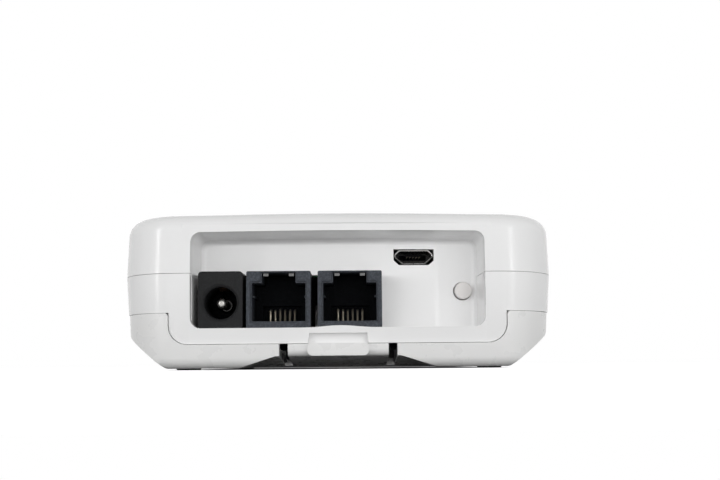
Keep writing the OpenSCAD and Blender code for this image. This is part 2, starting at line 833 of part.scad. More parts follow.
function contact_x(x, i) = x + (i - (contact_count - 1) / 2) * contact_pitch;

// Spring wires that lie in the floor of a jack and stand up in the comb at its rear
module jack_contacts(x) {
    wire = 0.4;
    low = jack_z + 0.65;
    top = jack_z + jack_floor_t + comb_h - 0.4;
    y0 = port_setback + 3.4;
    bend_y = port_setback + jack_hollow_l - 0.4;
    top_y = bend_y + 1;
    color([0.85, 0.7, 0.35])
        from_front()
            for (i = [0 : contact_count - 1])
                along_x(contact_x(x, i) - wire / 2, contact_x(x, i) + wire / 2)
                    polygon([[y0, low], [bend_y + wire / 2, low], [top_y + wire, top],
                        [top_y, top], [bend_y - wire / 2, low + wire], [y0, low + wire]]);
}

module jack_contacts_left() { jack_contacts(jack_xs[0]); }
module jack_contacts_right() { jack_contacts(jack_xs[1]); }

usb_y = recess_d + 0.4;
usb_l = 5.4;

module usb_shell() {
    metal = 0.25;
    foot_x = usb_base_w / 2 - 0.7;
    color([0.75, 0.75, 0.75])
        from_front() {
            difference() {
                across(usb_y, usb_y + usb_l)
                    polygon(usb_section(0));
                across(usb_y - through, usb_y + usb_l - metal)
                    polygon(usb_section(metal));
            }
            // Feet that stand on the board
            for (s = [-1, 1])
                box([usb_x + s * foot_x - 0.4, usb_y + 2.2, board_top_z],
                    [usb_x + s * foot_x + 0.4, usb_y + usb_l, usb_z + 0.1]);
        }
}

module usb_tongue() {
    z = usb_z + usb_h / 2;
    color([0.12, 0.12, 0.12])
        from_front() {
            box([usb_x - 1.9, usb_y + 0.8, z - 0.1], [usb_x + 1.9, usb_y + usb_l - 0.3, z + 0.5]);
            box([usb_x - 2.9, usb_y + usb_l - 1.3, z - 0.3], [usb_x + 2.9, usb_y + usb_l - 0.3, z + 0.9]);
        }
}

button_collar_t = 1;
switch_y = panel_back_y + 4;
plunger_d = 3;

module reset_button() {
    tip = recess_d - button_out;
    flare = 0.4;
    color([0.85, 0.83, 0.8])
        from_front() {
            translate([button_x, tip, button_z])
                rotate([-90, 0, 0])
                    rotate_extrude()
                        polygon([[0, 0], [button_d / 2 - flare, 0], [button_d / 2 - 0.12, 0.12],
                            [button_d / 2, flare], [button_d / 2, panel_back_y + slip - tip],
                            [button_d / 2 + 1.4, panel_back_y + slip - tip],
                            [button_d / 2 + 1.4, panel_back_y + slip + button_collar_t - tip],
                            [1, panel_back_y + slip + button_collar_t - tip], [1, switch_y - 1.5 - tip],
                            [0, switch_y - 1.5 - tip]]);
        }
}

module reset_plunger() {
    color([0.15, 0.15, 0.15])
        from_front()
            rod(button_x, button_z, switch_y - 1.5, switch_y + 1, plunger_d);
}

module reset_switch() {
    half = 3;
    color([0.3, 0.3, 0.3])
        from_front()
            difference() {
                union() {
                    box([button_x - half, switch_y, button_z - half],
                        [button_x + half, switch_y + 3.8, button_z + half]);
                    // Legs up to the board
                    for (s = [-1, 1])
                        box([button_x + s * 2.25 - 0.4, switch_y + 2.6, button_z + half - 0.1],
                            [button_x + s * 2.25 + 0.4, switch_y + 3.2, board_z]);
                }
                rod(button_x, button_z, switch_y - through, switch_y + 1 + button_travel + 0.4,
                    plunger_d + 2 * fit);
            }
}

// ---- Fibre port ----

sc_hollow_w = 9;
sc_hollow_h = 7.4;
sc_back_y = sc_barrel_y + 6;
ferrule_d = 2.5;
sleeve_d = 4.4;
sleeve_front_y = sc_barrel_y + 2;

module sc_receptacle() {
    color([0.1, 0.55, 0.3])
        from_front()
            difference() {
                union() {
                    box([sc_x - sc_w / 2, sc_barrel_y, split_z - sc_h / 2],
                        [sc_x + sc_w / 2, body_l, split_z + sc_h / 2]);
                    // Ribs that sit behind the rear wall
                    box([sc_x - sc_w / 2 - sc_rib, body_l - wall - slip - sc_rib_t, split_z - sc_h / 2 + 1.5],
                        [sc_x + sc_w / 2 + sc_rib, body_l - wall - slip, split_z + sc_h / 2 - 1.5]);
                }
                box([sc_x - sc_hollow_w / 2, sc_back_y, split_z - sc_hollow_h / 2],
                    [sc_x + sc_hollow_w / 2, body_l + through, split_z + sc_hollow_h / 2]);
                // Slot for the plug's key
                box([sc_x - 1.2, sc_back_y + 4, split_z],
                    [sc_x + 1.2, body_l + through, split_z + sc_hollow_h / 2 + 0.6]);
                rod(sc_x, split_z, sc_barrel_y - through, sc_back_y + through, sleeve_d);
            }
}

module sc_sleeve() {
    color([0.8, 0.8, 0.82])
        from_front()
            difference() {
                rod(sc_x, split_z, sleeve_front_y, sc_back_y + 8, sleeve_d);
                rod(sc_x, split_z, sleeve_front_y - through, sc_back_y + 9, ferrule_d);
            }
}

module sc_ferrule() {
    color([0.92, 0.92, 0.9])
        from_front()
            rod(sc_x, split_z, sc_barrel_y, sc_back_y + 2, ferrule_d);
}

module optical_module() {
    color([0.72, 0.72, 0.7])
        from_front() {
            box([sc_x - 5, sc_barrel_y - 9, split_z - 3.6], [sc_x + 5, sc_barrel_y, split_z + 4]);
            rod(sc_x, split_z, sc_barrel_y - 9.4, sc_barrel_y - 9, 5.4);
        }
}

// Round-cornered rectangle about the fibre port's axis
module fibre_section(half_w, half_h, r) {
    polygon(rounded(box_outline(sc_x - half_w, split_z - half_h, sc_x + half_w, split_z + half_h), r, 4));
}

module dust_cap() {
    plug_w = sc_hollow_w - 2 * slip;
    plug_h = sc_hollow_h - 2 * slip;
    plug_y = sc_back_y + 5.5;
    head_w = sc_w;
    head_h = sc_h;
    flute_t = 0.3;
    flute_w = 0.6;
    flute_pitch = 1.2;
    color([0.9, 0.9, 0.88])
        from_front()
            difference() {
                union() {
                    across(plug_y, body_l + apart + 0.1)
                        fibre_section(plug_w / 2, plug_h / 2, 0.6);
                    across(body_l + apart, body_l + cap_out)
                        fibre_section(head_w / 2, head_h / 2, 1.6);
                }
                rod(sc_x, split_z, plug_y - through, body_l - 2, sleeve_d + 2 * apart);
                // Grip flutes across the head, above and below
                for (z = [split_z - head_h / 2 - through, split_z + head_h / 2 - flute_t], i = [0 : 2])
                    translate([sc_x, body_l + 1.6 + i * flute_pitch, z])
                        box([-head_w / 2 - through, 0, 0],
                            [head_w / 2 + through, flute_w, flute_t + through]);
            }
}

// ---- Parts on the board ----

// Row of power parts behind the power jack: its distance from the board's side, the size and
// places of the capacitors' cans, and the place of the inductor after them
power_inset = 12.7;
power_x = power_inset - board_w / 2;
can_y = 14;
can_pitch = 9;
can_d = 6.2;
can_h = 6.5;
can_base_w = 6.6;
inductor_y = 42;
inductor_w = 7.2;
inductor_h = 3.6;

// Shield can over the radio-quiet part of the board, in front of the optical module
shield_size = [18, 17, 4];
shield_gap = 6;

module shield_can() {
    metal = 0.3;
    hole_pitch = 4;
    hole_d = 1.2;
    low = [sc_x - shield_size.x / 2, sc_barrel_y - 9 - shield_gap - shield_size.y, board_top_z];
    color([0.7, 0.7, 0.7])
        from_front()
            difference() {
                translate(low)
                    cube(shield_size);
                translate(low + [metal, metal, -through])
                    cube(shield_size + [-2 * metal, -2 * metal, through - metal]);
                for (i = [-1.5 : 1.5], j = [-1.5 : 1.5])
                    translate(low + [shield_size.x / 2 + i * hole_pitch, shield_size.y / 2 + j * hole_pitch,
                        shield_size.z - 1])
                        cylinder(h = 2, d = hole_d);
            }
}

chip_x = -6;
chip_y = body_l / 2 - 6;
chip_size = [15, 15, 1.2];

module main_chip() {
    color([0.12, 0.12, 0.13])
        from_front()
            translate([chip_x - chip_size.x / 2, chip_y - chip_size.y / 2, board_top_z])
                cube(chip_size);
}

module heat_sink() {
    size = 20;
    fins = 7;
    fin_t = 1;
    color([0.2, 0.2, 0.22])
        from_front()
            translate([chip_x - size / 2, chip_y - size / 2, board_top_z + chip_size.z]) {
                cube([size, size, 1.4]);
                for (i = [0 : fins - 1])
                    translate([i * (size - fin_t) / (fins - 1), 0, 1.2])
                        cube([fin_t, size, 3.4]);
            }
}

module pulse_transformers() {
    size = [9.4, 7, 4.2];
    coil_y = 12;
    lead_pitch = 2;
    lead_w = 0.6;
    lead_l = 1.2;
    color([0.15, 0.15, 0.16])
        from_front()
            for (x = jack_xs)
                translate([x, board_front_y + coil_y, board_top_z]) {
                    box([-size.x / 2, 0, 0.2], [size.x / 2, size.y, size.z]);
                    for (i = [-2 : 2], y = [-lead_l / 2, size.y - lead_l / 2])
                        translate([i * lead_pitch - lead_w / 2, y, 0])
                            cube([lead_w, lead_l, lead_w]);
                }
}

module capacitors() {
    half = can_base_w / 2;
    r = can_d / 2;
    color([0.25, 0.25, 0.3])
        from_front()
            for (i = [0 : 2])
                translate([power_x, board_front_y + can_y + i * can_pitch, board_top_z]) {
                    box([-half, -half, 0], [half, half, 0.7]);
                    rotate_extrude()
                        polygon([[0, 0.6], [r - 0.2, 0.6], [r, 0.9], [r, 1.3], [r - 0.15, 1.5], [r, 1.7],
                            [r, can_h - 0.3], [r - 0.3, can_h], [0, can_h]]);
                }
}

module power_inductor() {
    half = inductor_w / 2;
    color([0.2, 0.2, 0.2])
        from_front()
            translate([power_x, board_front_y + inductor_y, board_top_z])
                linear_extrude(inductor_h)
                    polygon(rounded(box_outline(-half, -half, half, half), 1.2, 3));
}

module crystal() {
    color([0.8, 0.8, 0.75])
        from_front()
            translate([chip_x + 13.5, chip_y - 4, board_top_z])
                linear_extrude(1.1)
                    polygon(rounded(box_outline(-2.5, -1.6, 2.5, 1.6), 0.5, 2));
}

led_h = 0.8;
pipe_bar_t = 1.5;

module status_leds() {
    color([0.9, 0.9, 0.8])
        from_front()
            for (i = [0 : light_count - 1])
                translate([light_x(i), light_y, board_top_z])
                    box([-0.8, -0.4, 0], [0.8, 0.4, led_h]);
}

module light_pipe() {
    half = (light_count - 1) / 2 * light_pitch + 2;
    centre = light_x((light_count - 1) / 2);
    color([0.95, 0.95, 0.95])
        from_front() {
            box([centre - half, light_y - 2, ceiling_z - pipe_bar_t],
                [centre + half, light_y + 2, ceiling_z]);
            for (i = [0 : light_count - 1])
                translate([light_x(i), light_y, board_top_z + led_h + apart])
                    cylinder(h = body_h - board_top_z - led_h - apart, d = light_post_d);
        }
}

module case_screws() {
    shank_l = board_top_z + screw_bite - screw_seat_z;
    color([0.6, 0.6, 0.6])
        from_front()
            for (x = [-screw_x, screw_x], y = screw_ys)
                translate([x, y, screw_seat_z])
                    difference() {
                        rotate_extrude()
                            polygon([[0, -screw_head_h], [screw_head_d / 2 - 0.5, -screw_head_h],
                                [screw_head_d / 2, 0.6 - screw_head_h], [screw_head_d / 2, 0],
                                [screw_d / 2, 0], [screw_d / 2, shank_l - 1], [0.3, shank_l], [0, shank_l]]);
                        // Cross recess
                        for (a = [0, 90])
                            rotate([0, 0, a])
                                box([-1.3, -0.25, -screw_head_h - 1], [1.3, 0.25, 1 - screw_head_h]);
                    }
}

top_cover();
lower_housing();
fibre_tray();
tray_latch();
rubber_feet();
fibre_spool();
splice_holder();
circuit_board();
dc_jack();
dc_jack_pin();
dc_jack_spring();
modular_jack_left();
modular_jack_right();
jack_contacts_left();
jack_contacts_right();
usb_shell();
usb_tongue();
reset_button();
reset_switch();
reset_plunger();
sc_receptacle();
sc_ferrule();
sc_sleeve();
optical_module();
dust_cap();
shield_can();
main_chip();
heat_sink();
pulse_transformers();
capacitors();
power_inductor();
crystal();
status_leds();
light_pipe();
case_screws();
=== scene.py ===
"""Looks of a small optical network terminal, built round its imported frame.

Metres, +Z up, the sockets face -Y. Shells are lofts of rounded rings and rounded outlines carried
along an axis, worked out with numpy, then trimmed by each other and given small edge radii.
"""
import json
import math

import bmesh
import bpy
import numpy as np
from mathutils import Matrix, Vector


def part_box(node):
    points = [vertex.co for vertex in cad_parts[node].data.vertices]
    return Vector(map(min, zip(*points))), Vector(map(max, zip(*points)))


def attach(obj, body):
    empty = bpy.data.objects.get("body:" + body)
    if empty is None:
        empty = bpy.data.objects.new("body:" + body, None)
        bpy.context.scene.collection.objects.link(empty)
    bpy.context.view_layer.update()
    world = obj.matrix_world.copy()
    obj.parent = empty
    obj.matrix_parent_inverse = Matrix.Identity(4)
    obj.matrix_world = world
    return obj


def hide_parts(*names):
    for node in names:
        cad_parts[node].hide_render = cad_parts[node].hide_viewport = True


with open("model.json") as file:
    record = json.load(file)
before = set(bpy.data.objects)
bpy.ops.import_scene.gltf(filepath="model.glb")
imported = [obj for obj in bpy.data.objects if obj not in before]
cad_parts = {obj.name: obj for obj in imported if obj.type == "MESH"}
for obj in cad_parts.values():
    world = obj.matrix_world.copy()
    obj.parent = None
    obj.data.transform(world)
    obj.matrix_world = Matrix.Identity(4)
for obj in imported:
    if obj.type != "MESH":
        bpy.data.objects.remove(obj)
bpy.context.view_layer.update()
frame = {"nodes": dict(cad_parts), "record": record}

# ---- sizes, in metres

MM = 0.001
housing_low, housing_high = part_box("lower_housing")
_, cover_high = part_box("top_cover")
_, tray_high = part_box("fibre_tray")
latch_low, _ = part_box("tray_latch")
feet_low, feet_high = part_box("rubber_feet")
sc_low, sc_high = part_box("sc_receptacle")
cap_low, cap_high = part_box("dust_cap")
usb_low, usb_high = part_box("usb_shell")
dc_low, dc_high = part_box("dc_jack")
pin_low, pin_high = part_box("dc_jack_pin")
_, right_jack_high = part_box("modular_jack_right")
button_low, button_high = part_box("reset_button")
led_low, led_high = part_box("status_leds")

# Case
FRONT = housing_low[1]
REAR = housing_high[1]
HALF_W = cover_high[0]
TOP_Z = cover_high[2]
SPLIT_Z = (sc_low[2] + sc_high[2]) / 2
CHIN_Z = housing_low[2]
WALL = 2.0 * MM
FLOOR_T = 1.8 * MM
CORNER_R = 12.0 * MM
EDGE_R = 3.6 * MM
COVER_DRAFT = math.radians(2)
BAND_DRAFT = math.radians(3.7)
RIM_Z = SPLIT_Z - 7.65 * MM
SILL_Z = CHIN_Z + 3.05 * MM
BROW_Z = TOP_Z - 4.3 * MM
RECESS_HALF = 28.65 * MM
PANEL_Y = FRONT + 11.4 * MM
PANEL_T = 2.0 * MM
RETURN_END = PANEL_Y - 1.4 * MM
SEAM = 0.1 * MM
SLIP = 0.2 * MM
OVER = 1.0 * MM
SPANS = 14
JOIN_GAP = 0.04 * MM
LINER_T = 1.6 * MM
LIP_T = 0.9 * MM
CROWN_FALL = 0.48 * MM
CHIN_HALF = RECESS_HALF + 4.1 * MM
CHIN_L = 24.0 * MM
VENT_PITCH = 4 * MM

# Tray, latch and feet
TRAY_Z = 0.3 * MM
TRAY_STEP = 0.7 * MM
TRAY_EDGE_R = 2.0 * MM
FLAT_HALF = 33.5 * MM
CHAMFER_H = 6.8 * MM
SCOOP_H = 2.32 * MM
SCOOP_L = 18.0 * MM
TAB_HALF = 5.9 * MM
TONGUE_HALF = 9.7 * MM
TONGUE_SLOT = 1.74 * MM
TONGUE_L = 16.0 * MM
HINGE_Y = FRONT + TONGUE_L
KNUCKLE_Z = TRAY_Z + 1.6 * MM
HOOK_X = 28.8 * MM
SCREW_HALF = 33 * MM
FOOT_R = 2.5 * MM
FOOT_X = FLAT_HALF - 2.8 * MM
FOOT_INSET = 4.0 * MM

# Sockets, button, fibre port and lights
SOCKET_Z = (pin_low[2] + pin_high[2]) / 2
BORE_R = 3.2 * MM
JACK_HALF = 5.25 * MM
JACK_FLOOR = 1.45 * MM
HOLLOW_L = 8.6 * MM
WIRE_PITCH = 1.016 * MM
USB_X = (usb_low[0] + usb_high[0]) / 2
USB_HALF = (usb_high[0] - usb_low[0]) / 2
USB_TOP = usb_high[2]
USB_H = 3.0 * MM
USB_BASE = USB_TOP - USB_H
BUTTON_X = (button_low[0] + button_high[0]) / 2
BUTTON_Z = (button_low[2] + button_high[2]) / 2
BUTTON_R = 1.8 * MM
BUTTON_GAP = 0.14 * MM
HOLE_SHIFT = 0.08 * MM
SC_X = (cap_low[0] + cap_high[0]) / 2
SC_W = cap_high[0] - cap_low[0]
SC_H = sc_high[2] - sc_low[2]
LED_Y = (led_low[1] + led_high[1]) / 2
LED_XS = np.linspace(led_low[0] + 0.8 * MM, led_high[0] - 0.8 * MM, 5)
LED_HOLE_R = 1.2 * MM


# ---- outlines and surfaces

def rounded(corners, radii, steps=6):
    """Outline with each corner replaced by an arc: centre on the corner's bisector, points at
    centre + r (cos a, sin a) with a running evenly between the two tangent points."""
    pts = np.asarray(corners, float)
    radii = np.broadcast_to(np.asarray(radii, float), (len(pts),))
    out = []
    for before, here, after, r in zip(np.roll(pts, 1, 0), pts, np.roll(pts, -1, 0), radii):
        if r <= 0:
            out.append(here[None])
            continue
        u = (before - here) / np.linalg.norm(before - here)
        v = (after - here) / np.linalg.norm(after - here)
        half = math.acos(np.clip(u @ v, -1, 1)) / 2
        centre = here + (u + v) / np.linalg.norm(u + v) * r / math.sin(half)
        start = here + u * r / math.tan(half) - centre
        end = here + v * r / math.tan(half) - centre
        a0 = math.atan2(start[1], start[0])
        turn = (math.atan2(end[1], end[0]) - a0 + math.pi) % (2 * math.pi) - math.pi
        a = a0 + turn * np.linspace(0, 1, steps + 1)
        out.append(centre + r * np.stack([np.cos(a), np.sin(a)], 1))
    return np.vstack(out)


def box_outline(x0, z0, x1, z1):
    return [(x0, z0), (x1, z0), (x1, z1), (x0, z1)]


def circle_outline(x, z, r, steps=40):
    """Points at centre + r (cos a, sin a) for a over one turn."""
    a = np.linspace(0, 2 * np.pi, steps, endpoint=False)
    return np.stack([x + r * np.cos(a), z + r * np.sin(a)], 1)


def soft_box(x, z, half_w, half_h, r, steps):
    """Rectangle round a middle, with its corners rounded."""
    return rounded(box_outline(x - half_w, z - half_h, x + half_w, z + half_h), r, steps)


def ring_at(outline, y):
    """Outline in X and Z as a ring of points at one place along Y."""
    return np.column_stack([outline[:, 0], np.full(len(outline), y), outline[:, 1]])


def make_mesh(name, verts, faces):
    mesh = bpy.data.meshes.new(name)
    mesh.from_pydata(np.asarray(verts, float).tolist(), [], faces)
    mesh.update()
    obj = bpy.data.objects.new(name, mesh)
    bpy.context.scene.collection.objects.link(obj)
    return obj


def loft(name, rings, ladder=False):
    """Closed solid through a stack of rings with equal counts: vertex (i, j) is point j of ring i,
    quads join neighbours, and the first and last ring are capped, by one face each or by a ladder
    of quads whose rungs join point j to point n - 1 - j."""
    rings = np.asarray(rings, float)
    levels, count = rings.shape[:2]
    i, j = np.meshgrid(np.arange(levels - 1), np.arange(count), indexing="ij")
    k = (j + 1) % count
    quads = np.stack([i * count + j, i * count + k, (i + 1) * count + k, (i + 1) * count + j], -1)
    faces = quads.reshape(-1, 4).tolist()
    if ladder:
        rungs = [(j, j + 1, count - 2 - j, count - 1 - j) for j in range(count // 2 - 1)]
    else:
        rungs = [tuple(range(count))]
    for base in (0, (levels - 1) * count):
        faces.extend([base + n for n in rung] for rung in rungs)
    obj = make_mesh(name, rings.reshape(-1, 3), faces)
    fix_normals(obj)
    return obj


def fix_normals(obj):
    bm = bmesh.new()
    bm.from_mesh(obj.data)
    bmesh.ops.remove_doubles(bm, verts=bm.verts, dist=1e-7)
    bmesh.ops.recalc_face_normals(bm, faces=bm.faces)
    bm.to_mesh(obj.data)
    bm.free()


def soft_block(name, half_w, y0, y1, r, profile, steps=12, spans=1):
    """Round-cornered block: ring i lies at height z_i and its corner arcs have radius r - inset_i
    about four fixed centres, so drafted walls and round edges share the same corners. The sides
    along X are cut into spans, with the centres of the extra points evenly between two corners."""
    profile = np.asarray(profile, float)
    a = np.linspace(0, np.pi / 2, steps + 1)
    t = np.linspace(1, -1, spans + 1)[1:-1]
    between = np.ones(len(t))
    angles = np.concatenate([a, between * np.pi / 2, a + np.pi / 2, a + np.pi, between * 1.5 * np.pi,
                             a + 1.5 * np.pi])
    corner = np.ones(steps + 1)
    sx = np.concatenate([corner, t, -corner, -corner, -t, corner])
    sy = np.repeat([1, 0], steps * 2 + 2 + len(t))
    cx = sx * (half_w - r)
    cy = np.where(sy == 1, y1 - r, y0 + r)
    radius = (r - profile[:, 0])[:, None]
    x = cx[None] + radius * np.cos(angles)[None]
    y = cy[None] + radius * np.sin(angles)[None]
    z = np.broadcast_to(profile[:, 1][:, None], x.shape)
    return loft(name, np.stack([x, y, z], -1), ladder=spans > 1)


def across(name, outline, y0, y1, shrink=1.0):
    """Solid swept along Y: the outline in X and Z at y0, scaled by shrink about its middle at y1."""
    outline = np.asarray(outline, float)
    middle = (outline.max(0) + outline.min(0)) / 2
    far = middle + (outline - middle) * shrink
    return loft(name, [ring_at(outline, y0), ring_at(far, y1)])


def along_x(name, outline, x0, x1):
    """Solid swept along X: the outline lies in Y and Z."""
    outline = np.asarray(outline, float)
    return loft(name, [np.column_stack([np.full(len(outline), x), outline]) for x in (x0, x1)])


def upright(name, outline, z0, z1):
    """Solid swept along Z: the outline lies in X and Y."""
    outline = np.asarray(outline, float)
    return loft(name, [np.column_stack([outline, np.full(len(outline), z)]) for z in (z0, z1)])


def slab(name, low, high):
    return upright(name, box_outline(low[0], low[1], high[0], high[1]), low[2], high[2])


def turned(name, profile, u, v, steps=48, about_z=False):
    """Solid of revolution about an axis along Y, or along Z: ring i has radius r_i at place i."""
    profile = np.asarray(profile, float)
    a = np.linspace(0, 2 * np.pi, steps, endpoint=False)
    r = profile[:, 0][:, None]
    first, second = u + r * np.cos(a)[None], v + r * np.sin(a)[None]
    along = np.broadcast_to(profile[:, 1][:, None], first.shape)
    return loft(name, np.stack((first, second, along) if about_z else (first, along, second), -1))


# ---- trimming and finishing

def apply_modifiers(obj):
    depsgraph = bpy.context.evaluated_depsgraph_get()
    mesh = bpy.data.meshes.new_from_object(obj.evaluated_get(depsgraph))
    obj.modifiers.clear()
    old = obj.data
    obj.data = mesh
    mesh.name = obj.name
    bpy.data.meshes.remove(old)


def combine(target, others, operation="DIFFERENCE"):
    for other in others if isinstance(others, (list, tuple)) else [others]:
        mod = target.modifiers.new("trim", "BOOLEAN")
        mod.operation = operation
        mod.solver = "EXACT"
        mod.object = other
        apply_modifiers(target)
        bpy.data.objects.remove(other)
    return target


def cut(target, *others):
    return combine(target, others)


def join(target, *others):
    return combine(target, others, "UNION")


def soften(obj, width, segments=2, angle=28):
    """Small radius on every edge sharper than angle, then smooth shading with flat faces kept flat."""
    fix_normals(obj)
    if width:
        mod = obj.modifiers.new("edges", "BEVEL")
        mod.width = width
        mod.segments = segments
        mod.limit_method = "ANGLE"
        mod.angle_limit = math.radians(angle)
        mod.use_clamp_overlap = True
        mod.harden_normals = False
        apply_modifiers(obj)
    obj.data.shade_smooth()
    obj.data.set_sharp_from_angle(angle=math.radians(42))
    mod = obj.modifiers.new("faces", "WEIGHTED_NORMAL")
    mod.keep_sharp = True
    mod.weight = 80
    return obj


# ---- top cover

def cover_profile(r, base, top, radius, steps=12):
    """Edge of the cover as [inset, z]: a drafted line, an arc of the given radius from the draft
    angle to 6 degrees short of level, and a parabola that dies out at the corner's centre."""
    fall = math.radians(6)
    reach = r - radius - math.tan(COVER_DRAFT) * (top - base - radius)
    drop = math.tan(fall) * reach / 2
    centre_z = top - drop - radius * math.cos(fall)
    start_z = centre_z + radius * math.sin(COVER_DRAFT)
    start_in = math.tan(COVER_DRAFT) * (start_z - base)
    centre_in = start_in + radius * math.cos(COVER_DRAFT)
    a = np.linspace(COVER_DRAFT, math.pi / 2 - fall, steps + 1)
    arc = np.stack([centre_in - radius * np.cos(a), centre_z + radius * np.sin(a)], 1)
    end_in = arc[-1, 0]
    t = np.linspace(0, 1, 7)[1:]
    last = r - 0.05 * MM
    crown = np.stack([end_in + (last - end_in) * t, top - drop * (1 - t) ** 2], 1)
    return np.vstack([[[0, base]], arc, crown])


def recess_cutter(bottom):
    """Drafted pocket with rounded upper corners: its walls close in by 0.3 mm on their way back and
    meet the panel in a quarter circle."""
    corners = rounded(box_outline(-RECESS_HALF, bottom, RECESS_HALF, BROW_Z), [0, 0, 1.9 * MM, 1.9 * MM])
    t = np.linspace(corners[8, 0], corners[9, 0], SPANS + 1)[1:-1]
    outline = np.vstack([corners[:9], np.column_stack([t, np.full(len(t), BROW_Z)]), corners[9:]])
    draft, r = 0.3 * MM, 1.1 * MM
    a = np.linspace(0, np.pi / 2, 5)
    fillet = np.stack([PANEL_Y - r + r * np.sin(a), draft + r * (1 - np.cos(a))], 1)
    rings = []
    for y, inward in np.vstack([[[FRONT - OVER, -0.02 * MM]], fillet]):
        o = outline.copy()
        o[:, 0] *= 1 - inward / RECESS_HALF
        o[:, 1] -= np.where(o[:, 1] > bottom + MM, inward, 0)
        rings.append(ring_at(o, y))
    return loft("recess", rings)


def crown(obj):
    """Lowers the cover's sides: z falls by 0.48 mm at the top, and by less lower down, times
    (1 - cos(pi x / half width)) / 2."""
    co = np.empty(len(obj.data.vertices) * 3)
    obj.data.vertices.foreach_get("co", co)
    co = co.reshape(-1, 3)
    share = np.clip((co[:, 2] - SPLIT_Z) / (TOP_Z - SPLIT_Z), 0, 1)
    co[:, 2] -= CROWN_FALL * share * (1 - np.cos(np.pi * co[:, 0] / HALF_W)) / 2
    obj.data.vertices.foreach_set("co", co.ravel())
    obj.data.update()


def fibre_cutter():
    outline = soft_box(SC_X, SPLIT_Z, SC_W / 2 + SLIP, SC_H / 2 + SLIP, 0.5 * MM, 3)
    return across("fibre", outline, REAR - 5 * MM, REAR + OVER)


def usb_cut_outline():
    w, low, high = 4.2 * MM, USB_BASE - 0.18 * MM, USB_TOP + 0.2 * MM
    return [(USB_X - w, high), (USB_X - w, low + 1.0 * MM), (USB_X - w + 1.1 * MM, low),
            (USB_X + w - 1.1 * MM, low), (USB_X + w, low + 1.0 * MM), (USB_X + w, high)]


def build_top_cover():
    base = SPLIT_Z + JOIN_GAP
    cover = soft_block("case_top", HALF_W, FRONT, REAR, CORNER_R,
                       cover_profile(CORNER_R, base, TOP_Z, EDGE_R), spans=SPANS)
    hollow = soft_block("hollow", HALF_W - WALL, FRONT + WALL, REAR - WALL, CORNER_R - WALL,
                        cover_profile(CORNER_R - WALL, base - OVER, TOP_Z - WALL, EDGE_R - WALL / 2, 6))
    cut(cover, hollow)
    outer = RECESS_HALF + LINER_T
    liner = slab("liner", (-outer, FRONT + 0.3 * MM, base), (outer, PANEL_Y + PANEL_T, BROW_Z + LINER_T))
    lower = slab("cheeks", (-outer, RETURN_END + SEAM, CHIN_Z + 2.1 * MM),
                 (outer, PANEL_Y + PANEL_T, base + MM))
    lip_outer = WALL + 0.1 * MM
    lip = soft_block("lip", HALF_W - lip_outer, FRONT + lip_outer, REAR - lip_outer, CORNER_R - lip_outer,
                     [(0, SPLIT_Z - 1.5 * MM), (0, SPLIT_Z + 0.5 * MM)])
    lip_inner = lip_outer + LIP_T
    cut(lip, soft_block("lip_hollow", HALF_W - lip_inner, FRONT + lip_inner, REAR - lip_inner,
                        CORNER_R - lip_inner, [(0, SPLIT_Z - 3 * MM), (0, SPLIT_Z + 3 * MM)]))
    join(cover, lip, liner, lower)
    cut(cover, recess_cutter(CHIN_Z - OVER))
    jacks = slab("jacks", (dc_low[0] - SLIP, PANEL_Y - OVER, 0), (right_jack_high[0] + SLIP,
                 PANEL_Y + 3 * MM, dc_high[2] + 0.15 * MM))
    cut(cover, jacks, across("usb", usb_cut_outline(), PANEL_Y - OVER, PANEL_Y + 3 * MM),
        across("button",
               circle_outline(BUTTON_X - HOLE_SHIFT, BUTTON_Z - HOLE_SHIFT, BUTTON_R + BUTTON_GAP, 64),
               PANEL_Y - OVER, PANEL_Y + 3 * MM),
        fibre_cutter())
    for x in LED_XS:
        cut(cover, upright("light", circle_outline(x, LED_Y, LED_HOLE_R, 24), TOP_Z - 4 * MM, TOP_Z + OVER))
    crown(cover)
    return soften(cover, 0.22 * MM, 2)


# ---- lower housing

def band_profile(low, high):
    return [(math.tan(BAND_DRAFT) * (SPLIT_Z - z), z) for z in (low, high)]


def chin_outline(grow, base, top, r):
    half = CHIN_HALF + grow
    return rounded(box_outline(-half, base, half, top), [r, r, 0, 0], 8)


def sill_outline():
    """Opening above the sill: round lower corners, and a sill that rises 0.4 mm over the middle
    as half a cosine wave."""
    half = RECESS_HALF
    t = np.linspace(-1, 1, 15)
    bump_half = 6.9 * MM
    middle = 0.4 * MM
    bump = np.stack([middle + t * bump_half, SILL_Z + 0.4 * MM * (1 + np.cos(np.pi * t)) / 2], 1)
    corners = rounded([(-half, SILL_Z), (half, SILL_Z), (half, SPLIT_Z + OVER), (-half, SPLIT_Z + OVER)],
                      [2 * MM, 2 * MM, 0, 0])
    left = corners[:7]
    return np.vstack([left, bump, corners[7:]])


